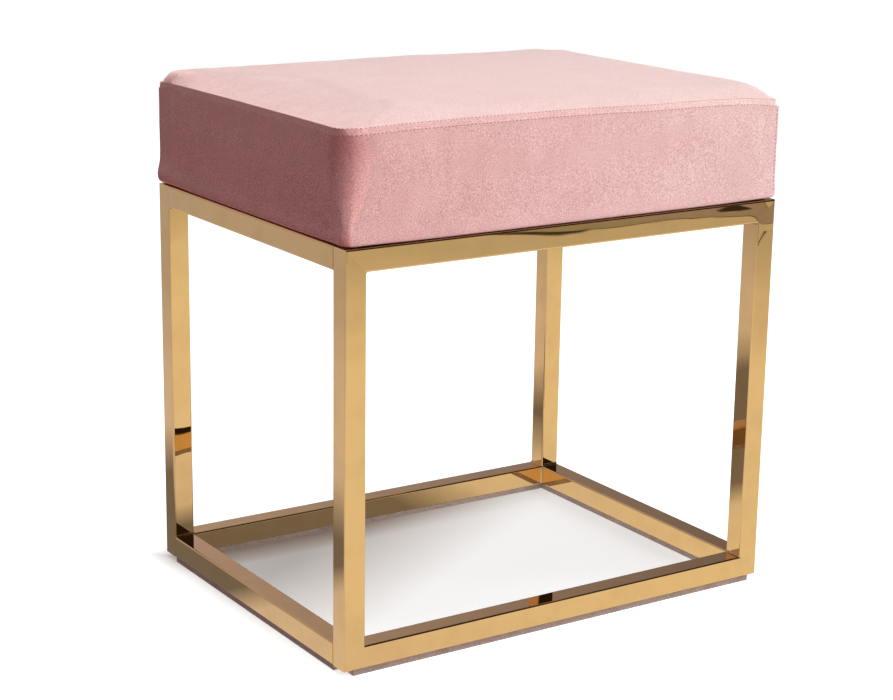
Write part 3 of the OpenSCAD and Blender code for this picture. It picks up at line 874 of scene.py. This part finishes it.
# %% Bend the corners
def corner_share(x, y):
    """For points on a square layout: which lie in a corner square, and their reach and angle from there."""
    over_x, over_y = np.abs(x) - (COVER_X - CORNER), np.abs(y) - (COVER_Y - CORNER)
    reach = np.maximum(over_x, over_y)
    ratio = np.clip(np.minimum(over_x, over_y) / np.maximum(reach, 1e-9), 0, 1)
    turn = np.arcsin(ratio) / 2
    return (over_x > 1e-7) & (over_y > 1e-7), reach, np.where(over_x >= over_y, turn, math.pi / 2 - turn)


def plan(x, y, inset, smooth, sewn=SEWN_CORNER):
    """Rounds a square layout's corners, after moving its rim in by inset. The two corners without a seam get
    the radius smooth, and the two that are sewn get the radius sewn and stay nearly sharp."""
    in_corner, reach, angle = corner_share(x, y)
    across, along = np.cos(angle), np.sin(angle)
    square = max(CORNER - inset, 3 * MM)
    radius = np.where(x * y < 0, sewn, min(smooth, square))
    heart = square - radius
    toward = heart * (across + along)
    on_arc = toward + np.sqrt(np.maximum(toward ** 2 - 2 * heart ** 2 + radius ** 2, 0))
    steepest = np.maximum(across, along)
    on_straight = np.minimum(across, along) * square < heart * steepest
    out = np.where(on_straight, square / steepest, on_arc) * reach / CORNER
    placed = []
    for value, half, part in ((x, COVER_X, across), (y, COVER_Y, along)):
        centre = half - inset - square
        past = np.abs(value) - (half - CORNER)
        straight = value * centre / (half - CORNER)
        edge = np.sign(value) * (centre + past * square / CORNER)
        bent = np.sign(value) * (centre + out * part)
        placed.append(np.where(in_corner, bent, np.where(past > 0, edge, straight)))
    return placed


def drawn_in(x, y, share):
    """Pulls the sides in between their corners."""
    bow_x, bow_y = 1 - (y / COVER_Y) ** 2, 1 - (x / COVER_X) ** 2
    return x * (1 - DRAW_IN / COVER_X * share * bow_x), y * (1 - DRAW_IN / COVER_Y * share * bow_y)


print("smooth corners:", [round(radius / MM) for radius in SMOOTH_RADII], "mm from the bottom up")


# %% Dip the seam and crown the top
def share_of(value, start, span):
    """How far value has come from start over span, from 0 to 1."""
    return np.clip((value - start) / span, 0, 1)


def at_corners(x, y, amounts):
    """Picks each point's nearest corner from amounts, which are for the front left, front right, back right
    and back left corner."""
    front_left, front_right, back_right, back_left = amounts
    return np.where(y < 0, np.where(x < 0, front_left, front_right), np.where(x < 0, back_left, back_right))


def corner_dip(x, y, amounts):
    """The eighth power keeps the dip close to the corners."""
    return at_corners(x, y, amounts) * (share_of(abs(x), 0, COVER_X) * share_of(abs(y), 0, COVER_Y)) ** 8


def seam_height(x, y):
    """The seam hangs lower on the left and the right, and dips at the corners."""
    left = share_of(-x, 0, COVER_X) ** 6 * (1 - share_of(abs(y), 0, COVER_Y) ** 8)
    right = share_of(x, 0, SAG_REACH)
    return SEAM_LINE - SEAM_SAG - LEFT_SAG * left - RIGHT_SAG * right - corner_dip(x, y, SEAM_DIPS)


def crown_height(x, y):
    """The crown over the seam's plane. The padding has settled a little on the right."""
    crown = CROWN * np.clip(1 - (x / COVER_X) ** 2, 0, 1) * np.clip(1 - (y / COVER_Y) ** 2, 0, 1)
    return crown - SETTLED * share_of(x, 0.1 * COVER_X, 0.4 * COVER_X)


def rolled(x, y):
    """How far the surface has risen from the top of the lip to the plateau: 0 at the lip, 1 past the rolls.
    The left roll gets tighter towards the back. High powers let two sides meet in a corner, and their
    eighth root leaves each roll a parabola."""
    left_roll = LEFT_ROLL + (LEFT_BACK_ROLL - LEFT_ROLL) * share_of(y / COVER_Y, 0.3, 0.6)
    back_roll = EDGE_ROLL + (LEFT_BACK_ROLL - EDGE_ROLL) * share_of(-x / COVER_X, 0.86, 0.14)
    left_over = 0
    for value, half, roll, lean in (
            (x, COVER_X, np.where(x < 0, left_roll, EDGE_ROLL), np.where(x < 0, LEFT_LEAN, LIP_LEAN)),
            (y, COVER_Y, np.where(y < 0, FRONT_ROLL, back_roll), np.where(y < 0, LIP_LEAN, LEFT_LEAN))):
        across = np.clip((half - np.abs(value) - lean) / (roll - lean), 0, 1)
        left_over = left_over + (1 - across) ** 16
    return np.clip(1 - left_over ** (1 / 8), 0, 1)


print("dips of the seam's corners in mm", [round(dip / MM, 1) for dip in SEAM_DIPS])


# %% Place the rows
def layer(x, y, z, depth):
    """Points of the cover's outer face, or of a layer this deep under it."""
    return np.stack([x * (1 - depth / COVER_X), y * (1 - depth / COVER_Y), z - depth], axis=1)


def top_points(depth=0.0):
    sewn = SEWN_CORNER + LIP_ROUND * np.clip(ring_number / TOP_ROW, 0, 1)
    x, y = drawn_in(*plan(flat_x, flat_y, 0.0, SMOOTH_AT_TOP, sewn), 1 - flat_inset / COVER_Y)
    lip = seam_height(x, y) + LIP_RISE * np.interp(ring_number, range(len(LIP_SHARES)), LIP_SHARES)
    plateau = SEAM_LINE + PLATEAU + crown_height(x, y) - corner_dip(x, y, TOP_DIPS)
    return layer(x, y, lip + (plateau - lip) * rolled(flat_x, flat_y), depth)


def side_rows(low, depth=0.0, step=BAND_STEP):
    """Rows of points that hang from the rim down to low, first close together under the seam."""
    drop = SEAM_LINE - depth - low
    first = UNDER_SEAM[-1]
    levels = UNDER_SEAM + list(np.linspace(first, drop, 1 + round((drop - first) / step))[1:])
    rows = []
    for level in levels:
        share = 1 - level / drop
        height_share = (SEAM_LINE - depth - level - BAND_LOW) / (SEAM_LINE - BAND_LOW)
        smooth = np.interp(height_share, SMOOTH_HEIGHTS, SMOOTH_RADII) + (PADDING_ROUNDER if depth > 0 else 0)
        x, y = drawn_in(*plan(flat_x[rim], flat_y[rim], 0.0, smooth), share)
        z = low + depth + share * (seam_height(x, y) - depth - low)
        rows.append(layer(x, y, z, depth))
    return rows


def turned_rows():
    """Rows round the lower edge, and then flat under the board."""
    angles = np.radians((22.5, 45, 67.5, 90))
    bend = [(TURN_RADIUS * (1 - math.cos(a)), TURN_RADIUS * (1 - math.sin(a))) for a in angles]
    flat = [(inset, 0.0) for inset in (6 * MM, 11 * MM, 18 * MM, TURN_IN)]
    rows = []
    for inset, height in bend + flat:
        x, y = plan(flat_x[rim], flat_y[rim], inset, max(SMOOTH_AT_BOTTOM - inset, 1.0 * MM))
        rows.append(np.stack([x, y, np.full(stations, COVER_LOW + height)], axis=1))
    return rows


def skin_faces(row_count):
    """Quads over the grid, then down the rows from the rim."""
    corners = [number[:-1, :-1], number[1:, :-1], number[1:, 1:], number[:-1, 1:]]
    top = np.stack(corners, axis=-1).reshape(-1, 4)
    rings = [rim] + [count_x * count_y + r * stations + np.arange(stations) for r in range(row_count)]
    sides = [np.stack([upper, lower, np.roll(lower, -1), np.roll(upper, -1)], axis=1)
             for upper, lower in zip(rings, rings[1:])]
    return top, np.concatenate(sides), rings


outer_rows = side_rows(BAND_LOW)
under_rows = turned_rows()
cover_points = np.concatenate([top_points()] + outer_rows + under_rows)
top_faces, side_faces, rings = skin_faces(len(outer_rows) + len(under_rows))
all_faces = np.concatenate([top_faces, side_faces])
print("cover", len(cover_points), "points,", len(all_faces), "faces")

# %% [markdown]
# ### Padding that presses outwards
# A stuffed cover isn't exactly the shape it was cut to: the padding presses on it, the seams hold it back,
# and each panel swells a little between them. Blender's cloth simulation gives that for the price of a few
# seconds. The lower edge is held where it is stapled, the seam is held loosely, and pressure does the rest.
# The result is kept as plain points, with a cap on how far any of them may move, so that the cushion keeps
# its measured size.

# %% Swell the cover
SIM_FRAMES = 16
PRESSURE = 1.4
SWELL_LIMIT = 1.1 * MM
SEAM_HOLD = 0.85


def swell(points, faces, held, loosely_held):
    """Returns the points after a short cloth simulation. held stay in place, and loosely_held nearly so."""
    cover = mesh_object("swelling_cover", points, faces)
    group = cover.vertex_groups.new(name="held")
    group.add([int(i) for i in held], 1.0, "REPLACE")
    group.add([int(i) for i in loosely_held], SEAM_HOLD, "REPLACE")
    cloth = cover.modifiers.new("cloth", "CLOTH")
    settings = cloth.settings
    settings.quality = 6
    settings.mass = 0.4
    settings.tension_stiffness = settings.compression_stiffness = 30
    settings.shear_stiffness = 15
    settings.bending_stiffness = 8
    settings.use_pressure = True
    settings.uniform_pressure_force = PRESSURE
    settings.effector_weights.gravity = 0
    settings.vertex_group_mass = "held"
    cloth.point_cache.frame_start, cloth.point_cache.frame_end = 1, SIM_FRAMES
    for moment in range(1, SIM_FRAMES + 1):
        scene.frame_set(moment)
    shaped = cover.evaluated_get(bpy.context.evaluated_depsgraph_get()).data
    result = np.empty(len(points) * 3)
    shaped.vertices.foreach_get("co", result)
    mesh = cover.data
    bpy.data.objects.remove(cover)
    bpy.data.meshes.remove(mesh)
    scene.frame_set(1)
    return result.reshape(-1, 3)


stapled = np.concatenate(rings[len(outer_rows):])
sewn = np.concatenate([rim, grid_ring(TOP_ROW)])
moved = swell(cover_points, all_faces, stapled, sewn) - cover_points
length = np.linalg.norm(moved, axis=1, keepdims=True)
print("swelling in mm: mean", round(length.mean() / MM, 2), "most", round(length.max() / MM, 2))
cover_points = cover_points + moved * np.minimum(1, SWELL_LIMIT / np.maximum(length, 1e-9))
print("cover swollen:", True)

# %% [markdown]
# ### The marks of the upholsterer's hands
# No cover is perfectly regular. At the corners the cloth is folded under in several layers, so the lower
# edge stands off the frame there and bulges a little. A diagonal crease runs to the lower front left
# corner, and slow, shallow waves cross the big faces. These are moves of known rows of points, and plain
# formulas are enough for them.

# %% Slow waves and loose corners
CORNER_LIFT, LIFT_REACH, LIFT_TALL = 0.9 * MM, 48 * MM, 26 * MM
BULGES = (1.0 * MM, 0.0, 1.0 * MM, 2.2 * MM)
BULGE_REACH, BULGE_HEIGHT, BULGE_TALL = 17 * MM, 8 * MM, 9 * MM
HEM_FLARE, FLARE_HEIGHT, FLARE_TALL = 0.8 * MM, 4 * MM, 7 * MM
WAVE, WAVE_LENGTHS, WAVE_STARTS = 0.45 * MM, (70 * MM, 45 * MM), 12 * MM
wave_random = np.random.default_rng(7)


def point_normals(points, faces):
    corners = points[faces]
    normal = np.cross(corners[:, 2] - corners[:, 0], corners[:, 3] - corners[:, 1])
    total = np.zeros_like(points)
    for k in range(4):
        np.add.at(total, faces[:, k], normal)
    return total / np.maximum(np.linalg.norm(total, axis=1, keepdims=True), 1e-12)


def slow_waves(points, lengths):
    """A smooth mix of waves in random directions, from about -1 to 1, with wavelengths near those given."""
    total = np.zeros(len(points))
    for wave_length in lengths:
        for _ in range(5):
            way = wave_random.normal(size=3)
            way *= 2 * math.pi / (wave_length * np.linalg.norm(way))
            total += np.sin(points @ way + wave_random.uniform(0, 2 * math.pi))
    return total / (2.2 * math.sqrt(5 * len(lengths)))


def round_about(value, reach):
    """1 where value is 0, falling off smoothly over about this reach."""
    return np.exp(-(value / reach) ** 2)


def shape_details(points):
    points = points.copy()
    out = point_normals(points, all_faces)
    x, y, z = points.T
    height = np.clip(z - COVER_LOW, 0, None)
    from_corner = np.hypot(COVER_X - np.abs(x), COVER_Y - np.abs(y))
    side_only = np.clip(1 - np.abs(out[:, 2]) * 1.6, 0, 1)
    under_seam = np.clip((SEAM_LINE - z) / WAVE_STARTS, 0, 1)
    above_hem = np.clip(height / WAVE_STARTS, 0, 1)
    on_top = np.clip((out[:, 2] - 0.9) * 12, 0, 1)
    push = WAVE * slow_waves(points, WAVE_LENGTHS) * (side_only * under_seam * above_hem + on_top)
    bulge = round_about(from_corner, BULGE_REACH) * round_about(height - BULGE_HEIGHT, BULGE_TALL)
    bulge *= at_corners(x, y, BULGES)
    flare = HEM_FLARE * side_only * round_about(height - FLARE_HEIGHT, FLARE_TALL)
    points += out * (push + bulge + flare)[:, None]
    lift = CORNER_LIFT * round_about(from_corner, LIFT_REACH) * np.clip(1 - height / LIFT_TALL, 0, 1)
    points[:, 2] += lift
    return points


cover_points = shape_details(cover_points)
print("waves up to about", WAVE / MM, "mm")

# %% The crease
FOLD_START, FOLD_END = (-COVER_X, -118 * MM, 394 * MM), (-COVER_X, -160 * MM, 377 * MM)
FOLD_WIDTH, FOLD_DEPTH = 3 * MM, 0.9 * MM
VALLEY_SHARE, VALLEY_ASIDE = 0.7, 1.8


def creased(points, start, end, width, depth):
    """A fold along a straight line on the surface: a soft ridge with a shallow valley beside it."""
    out = point_normals(points, all_faces)
    line = end - start
    along = np.clip((points - start) @ line / (line @ line), 0, 1)
    from_line = points - start - along[:, None] * line
    across = from_line @ np.cross(line / np.linalg.norm(line), np.array([1.0, 0, 0]))
    fade = np.sin(along * math.pi) * round_about(np.linalg.norm(from_line, axis=1), 3 * width)
    valley = round_about(across + VALLEY_ASIDE * width, width)
    shape = round_about(across, width) - VALLEY_SHARE * valley
    return points + out * (depth * fade * shape)[:, None]


cover_points = creased(cover_points, np.array(FOLD_START), np.array(FOLD_END), FOLD_WIDTH, FOLD_DEPTH)
cover_normals = point_normals(cover_points, all_faces)
print("lowest point of the cover in mm", round(cover_points[:, 2].min() / MM, 2))

# %% [markdown]
# ### Cut the form into its sewn pieces
# The real cover is three pieces, so the form is now cut along the seams: the top panel, the band that wraps
# the front and the left side, and the band that wraps the back and the right side. Each becomes a mesh with
# the thickness of velvet and its backing, smoothed once. The two rows of stitches draw the cloth in by a
# hair: the upper row pulls on the top panel, and the lower row on the upper edge of the bands.

# %% Make the three velvet pieces
GROOVE = 0.03 * MM


def add_finish(thing, material):
    thing.data.materials.append(material)
    thing.data.shade_smooth()
    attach(thing, "root")
    return thing


def cut_piece(name, points, faces, material):
    """Makes one piece of velvet from some faces of the form, rounded once and thickened inwards."""
    used, packed = np.unique(faces, return_inverse=True)
    piece = add_finish(mesh_object(name, points[used], packed.reshape(faces.shape)), material)
    rounding = piece.modifiers.new("rounding", "SUBSURF")
    rounding.levels = rounding.render_levels = 1
    thicken(piece, VELVET_THICKNESS)
    split_edges(piece, 60)
    return piece


panel_points, band_points = cover_points.copy(), cover_points.copy()
for points, line in ((panel_points, grid_ring(TOP_ROW)), (band_points, rim)):
    points[line] -= cover_normals[line] * GROOVE

side_grid = side_faces.reshape(-1, stations, 4)
left_of_seams = np.concatenate([side_grid[:, :FRONT_RIGHT], side_grid[:, BACK_LEFT:]], axis=1).reshape(-1, 4)
right_of_seams = side_grid[:, FRONT_RIGHT:BACK_LEFT].reshape(-1, 4)
velvet_top = cut_piece("velvet_top", panel_points, top_faces, velvet_top_finish)
band_front_left = cut_piece("velvet_band_front_left", band_points, left_of_seams, velvet_side_finish)
band_back_right = cut_piece("velvet_band_back_right", band_points, right_of_seams, velvet_side_finish)
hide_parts("cover_top_panel")
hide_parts("cover_band_front_left")
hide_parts("cover_band_back_right")
print("velvet faces:", [len(piece.data.polygons) for piece in (velvet_top, band_front_left, band_back_right)])

# %% [markdown]
# ## Thread
# Two rows of topstitching run round the top edge, one on the lapped edge and one where the lip bends into
# the top. The two upright seams have a row beside them. Each stitch is a short piece of thread that dives
# into the cloth at both ends, so it is modelled as a small capsule that follows the surface and sinks at
# its ends. A texture could fake it, but real thread casts its tiny shadows from every side.

# %% One stitch
STITCH_PITCH = 3.7 * MM
STITCH_LENGTH, STITCH_VARIES = 2.2 * MM, (0.9, 1.08)
STITCH_SWAY = 0.25
THREAD_RADIUS = 0.32 * MM
THREAD_PROUD, THREAD_DIVES = 0.25, 1.6
CAPSULE_SIDES = 6
CAPSULE_RINGS = ((-0.5, 0.25), (-0.36, 0.9), (0.0, 1.0), (0.36, 0.9), (0.5, 0.25))
stitch_random = random.Random(3)


def stitch(place, way, out):
    """Points and faces of one stitch, a capsule whose rings are given as places along it and girths."""
    side = np.cross(way, out)
    length = STITCH_LENGTH * stitch_random.uniform(*STITCH_VARIES)
    sway = side * stitch_random.uniform(-STITCH_SWAY, STITCH_SWAY) * MM
    points = []
    for along, girth in CAPSULE_RINGS:
        sink = THREAD_RADIUS * (THREAD_PROUD - THREAD_DIVES * (2 * along) ** 4)
        heart = place + way * along * length + sway * along + out * sink
        for k in range(CAPSULE_SIDES):
            turn = 2 * math.pi * k / CAPSULE_SIDES
            points.append(heart + (side * math.cos(turn) + out * math.sin(turn)) * THREAD_RADIUS * girth)
    last = len(points) - CAPSULE_SIDES
    faces = []
    for r, k in product(range(0, last, CAPSULE_SIDES), range(CAPSULE_SIDES)):
        a, b = r + k, r + (k + 1) % CAPSULE_SIDES
        faces.append((a, b, b + CAPSULE_SIDES, a + CAPSULE_SIDES))
    return points, faces + [tuple(reversed(range(CAPSULE_SIDES))), tuple(range(last, last + CAPSULE_SIDES))]


print("a stitch is", STITCH_LENGTH / MM, "mm long, one each", STITCH_PITCH / MM, "mm")


# %% Rows of stitches
def running_length(points):
    """How far along a line each of its points lies."""
    return np.concatenate([[0], np.cumsum(np.linalg.norm(np.diff(points, axis=0), axis=1))])


def pick(values, run, at):
    """Values of a line's points, read off at these lengths along it."""
    return np.stack([np.interp(at, run, values[:, k]) for k in range(3)], axis=-1)


def resample(points, outs, closed):
    """Places along a line, one each stitch, with the way the line runs and the way out of the surface."""
    if closed:
        points, outs = np.vstack([points, points[:1]]), np.vstack([outs, outs[:1]])
    run = running_length(points)
    count = round(run[-1] / STITCH_PITCH)
    at = (np.arange(count) + 0.5) * run[-1] / count
    ways = pick(points, run, at + 0.4 * MM) - pick(points, run, at - 0.4 * MM)
    return pick(points, run, at), ways / np.linalg.norm(ways, axis=1, keepdims=True), pick(outs, run, at)


def sew(name, rows):
    """One mesh of all the stitches in rows, each row being (points, ways out, whether it is closed)."""
    stitches = [stitch(*spot) for row in rows for spot in zip(*resample(*row))]
    print(name, "has", len(stitches), "stitches")
    return add_finish(mesh_object(name, *joined(stitches)), thread_finish)


def stitch_row(line, up, sunk, left_sunk):
    """A closed row along a line of the top panel, sunk into the pile, and differently so on the left side."""
    points, outs = panel_points[line], cover_normals[line]
    sunk = np.where(points[:, 0] < 3 * MM - COVER_X, left_sunk, sunk)
    return points + np.array([0, 0, up]) - outs * sunk[:, None], outs, True


def beside(corner_station, distance, way):
    """A row on the band, this far along the surface from an upright seam."""
    places, outs = [], []
    for ring in rings[1:len(outer_rows)]:
        near = ring[(corner_station + way * np.arange(30)) % stations]
        run = running_length(cover_points[near])
        places.append(pick(cover_points[near], run, distance))
        out = pick(cover_normals[near], run, distance)
        outs.append(out / np.linalg.norm(out))
    return np.array(places), np.array(outs), False


# %% Sew the seams
TOP_ROW_SUNK, LEFT_EDGE_SUNK, EDGE_ROW_UP = 0.15 * MM, 0.45 * MM, 0.3 * MM
BESIDE_SEAM = 2 * MM
thread_finish = fibre_cloth(
    "thread", colour(0.30, 0.10, 0.095), colour(0.50, 0.20, 0.18), 2600.0, 300.0, 0.1 * MM)
edge_row = stitch_row(rim, EDGE_ROW_UP, 0.0, LEFT_EDGE_SUNK)
top_row = stitch_row(grid_ring(TOP_ROW), 0.0, TOP_ROW_SUNK, 0.0)
sew("thread_top_edge", [edge_row, top_row])
sew("thread_corners", [beside(FRONT_RIGHT, BESIDE_SEAM, -1), beside(BACK_LEFT, BESIDE_SEAM, 1)])

# %% [markdown]
# ## Inside the cushion
# Under the velvet lies a block of foam on the board, wrapped in polyester wadding that softens its edges.
# Nobody sees them in the picture, but a part that is taken apart should show the right things inside.

# %% Foam and wadding
foam_low, foam_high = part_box("foam_block")
wadding_low, wadding_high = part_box("wadding")
WADDING_SHARE = 0.9
FOAM_DARK, FOAM_LIGHT = colour(0.62, 0.50, 0.27), colour(0.80, 0.70, 0.43)
WADDING_DARK, WADDING_LIGHT = colour(0.72, 0.72, 0.70), colour(0.86, 0.86, 0.84)
foam_finish = fibre_cloth("foam", FOAM_DARK, FOAM_LIGHT, 900.0, 40.0, 0.5 * MM)
wadding_finish = fibre_cloth("wadding_fibre", WADDING_DARK, WADDING_LIGHT, 420.0, 70.0, 1.0 * MM)


def padding(name, high, low, finish, node, closed):
    """A layer of padding between a node's two corners, high and low, that is open or closed below."""
    depth = COVER_X - high.x
    rows = side_rows(low.z, depth, PADDING_STEP)
    upper, sides, layer_rings = skin_faces(len(rows))
    points = list(np.concatenate([top_points(depth)] + rows))
    faces = [tuple(f) for f in np.concatenate([upper, sides])]
    if closed:
        lowest = layer_rings[-1]
        points.append(np.array([0, 0, low.z]))
        faces += [(int(b), int(a), len(points) - 1) for a, b in zip(lowest, np.roll(lowest, -1))]
    piece = add_finish(mesh_object(name, points, faces), finish)
    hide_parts(node)
    return piece


wadding = padding(
    "wadding_wrap", wadding_high, wadding_low, wadding_finish, "wadding", False)
thicken(wadding, (wadding_high.z - foam_high.z) * WADDING_SHARE)
foam = padding("foam_core", foam_high, foam_low, foam_finish, "foam_block", True)
print("padding:", len(wadding.data.polygons) + len(foam.data.polygons), "faces")

# %% [markdown]
# ## Under the seat
# A black non-woven cloth closes the underside. It is stretched over the turned-in velvet and stapled to the
# board, and between two staples its edge pulls in a little. The four screws pass through round holes in it.

# %% Dust cover
dust_low, dust_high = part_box("dust_cover")
STAPLE_PITCH = 45 * MM
EDGE_PULL, BAY_STEPS = 0.9 * MM, 8
HOLE_RADIUS, HOLE_SIDES = 3.4 * MM, 20
DUST_UP, DUST_THICKNESS = 0.05 * MM, 0.45 * MM
DUST_DARK, DUST_LIGHT = colour(0.012, 0.012, 0.014), colour(0.035, 0.035, 0.04)
screw_points = np.array([v.co for v in nodes["seat_screws"].data.vertices])
screw_x, screw_y = np.abs(screw_points[:, :2]).mean(axis=0)


def dust_edge(low, high):
    """The cloth's outline, with shallow bays between the staples."""
    corners = [(low.x, low.y), (high.x, low.y), (high.x, high.y), (low.x, high.y)]
    outline = []
    for (x0, y0), (x1, y1) in zip(corners, corners[1:] + corners[:1]):
        way = Vector((x1 - x0, y1 - y0, 0))
        steps = BAY_STEPS * round(way.length / STAPLE_PITCH)
        inward = Vector((-way.y, way.x, 0)).normalized()
        for k in range(steps):
            bay = abs(math.sin(math.pi * k / BAY_STEPS))
            outline.append(Vector((x0, y0, 0)) + way * (k / steps) + inward * EDGE_PULL * bay)
    return outline


def hole(x, y):
    """A round hole's outline."""
    turns = [2 * math.pi * k / HOLE_SIDES for k in range(HOLE_SIDES)]
    return [Vector((x + HOLE_RADIUS * math.cos(a), y + HOLE_RADIUS * math.sin(a), 0)) for a in turns]


loops = [dust_edge(dust_low, dust_high)]
loops += [hole(side_x * screw_x, side_y * screw_y) for side_x, side_y in product((-1, 1), repeat=2)]
dust_points = [point + Vector((0, 0, dust_low.z + DUST_UP)) for loop in loops for point in loop]
dust_finish = fibre_cloth("non_woven", DUST_DARK, DUST_LIGHT, 1100.0, 90.0, 0.15 * MM)
dust_cloth = add_finish(
    mesh_object("dust_cloth", dust_points, tessellate_polygon(loops)), dust_finish)
dust_cloth.data.shade_flat()
thicken(dust_cloth, DUST_THICKNESS, 1)
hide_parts("dust_cover")
print("dust cover:", len(dust_points), "points, screws at mm", round(screw_x / MM, 1), round(screw_y / MM, 1))

# %% Staples
STAPLE_WIDE, STAPLE_WIRE, STAPLE_LEG = 10 * MM, 0.6 * MM, 2.2 * MM
STAPLE_IN, ROW_SHORTER, STAPLE_TURN = 5 * MM, 12 * MM, 0.22
staple_random = random.Random(11)


def box(low, high):
    """Points and faces of a box between two opposite corners."""
    points = [Vector(corner) for corner in product(*zip(low, high))]
    return points, [(0, 1, 3, 2), (4, 6, 7, 5), (0, 4, 5, 1), (2, 3, 7, 6), (0, 2, 6, 4), (1, 5, 7, 3)]


half_wide, half_wire = STAPLE_WIDE / 2, STAPLE_WIRE / 2
staple_points, staple_faces = joined([
    box((-half_wide, -half_wire, -STAPLE_WIRE), (half_wide, half_wire, 0)),
    box((-half_wide, -half_wire, 0), (STAPLE_WIRE - half_wide, half_wire, STAPLE_LEG)),
    box((half_wide - STAPLE_WIRE, -half_wire, 0), (half_wide, half_wire, STAPLE_LEG))])
row_x, row_y = FRAME_X - TUBE - STAPLE_IN, FRAME_Y - TUBE - STAPLE_IN
staple_parts = []
for reach, across, turn in ((row_x - ROW_SHORTER, row_y, 0.0), (row_y - ROW_SHORTER, row_x, math.pi / 2)):
    for along in np.linspace(-reach, reach, round(2 * reach / STAPLE_PITCH) + 1):
        for side in (-1, 1):
            spot = (along, side * across) if turn == 0 else (side * across, along)
            turned = Quaternion((0, 0, 1), turn + staple_random.uniform(-STAPLE_TURN, STAPLE_TURN))
            placed = [turned @ point + Vector((*spot, dust_low.z)) for point in staple_points]
            staple_parts.append((placed, staple_faces))
staples = add_finish(mesh_object("staples", *joined(staple_parts)), zinc)
staples.data.shade_flat()
print(len(staple_parts), "staples")

# %% [markdown]
# ## Welds
# The front and back are mitred rectangles and the side rails butt against them, all ground flush on the
# outside. Inside each corner a small hollow fillet of weld is left, and it catches the light as a short
# bright curve. At every corner of the box three pairs of tubes meet, so there are twenty-four fillets, all
# made from one small profile.

# %% Weld fillets
FILLET_LEG, FILLET_SUNK = 2.0 * MM, 0.2 * MM
FILLET_STEPS = 5
FILLET_END = 1.2 * MM


def fillet(corner, first, second, run):
    """A hollow fillet in an inside corner: first and second point along two tubes, run along their joint."""
    ring = [corner - FILLET_SUNK * (first + second)]
    for k in range(FILLET_STEPS + 1):
        turn = math.pi / 2 * k / FILLET_STEPS
        reach = FILLET_LEG * (1 - math.sin(turn)), FILLET_LEG * (1 - math.cos(turn))
        ring.append(corner + first * reach[0] + second * reach[1])
    count = len(ring)
    points = [point + run * (TUBE - 2 * FILLET_END) * end for end in (-0.5, 0.5) for point in ring]
    faces = [(k, (k + 1) % count, count + (k + 1) % count, count + k) for k in range(count)]
    return points, faces + [tuple(reversed(range(count))), tuple(range(count, 2 * count))]


inner_x, inner_y, half_tube = FRAME_X - TUBE, FRAME_Y - TUBE, TUBE / 2
levels = (FRAME_LOW, FRAME_LOW + TUBE, 1), (FRAME_TOP - TUBE, FRAME_TOP - TUBE, -1)
fillets = []
for side_x, side_y, (low, inner_z, up) in product((-1, 1), (-1, 1), levels):
    to_x, to_y, to_z = Vector((-side_x, 0, 0)), Vector((0, -side_y, 0)), Vector((0, 0, up))
    corner = Vector((side_x * inner_x, side_y * inner_y, 0))
    fillets += [
        fillet(corner + Vector((0, side_y * half_tube, inner_z)), to_x, to_z, Vector((0, 1, 0))),
        fillet(corner + Vector((side_x * half_tube, 0, inner_z)), to_y, to_z, Vector((1, 0, 0))),
        fillet(corner + Vector((0, 0, low + half_tube)), to_x, to_y, Vector((0, 0, 1)))]
welds = add_finish(mesh_object("weld_fillets", *joined(fillets)), plate_gold)
split_edges(welds, 40)
print("weld fillets:", len(fillets))
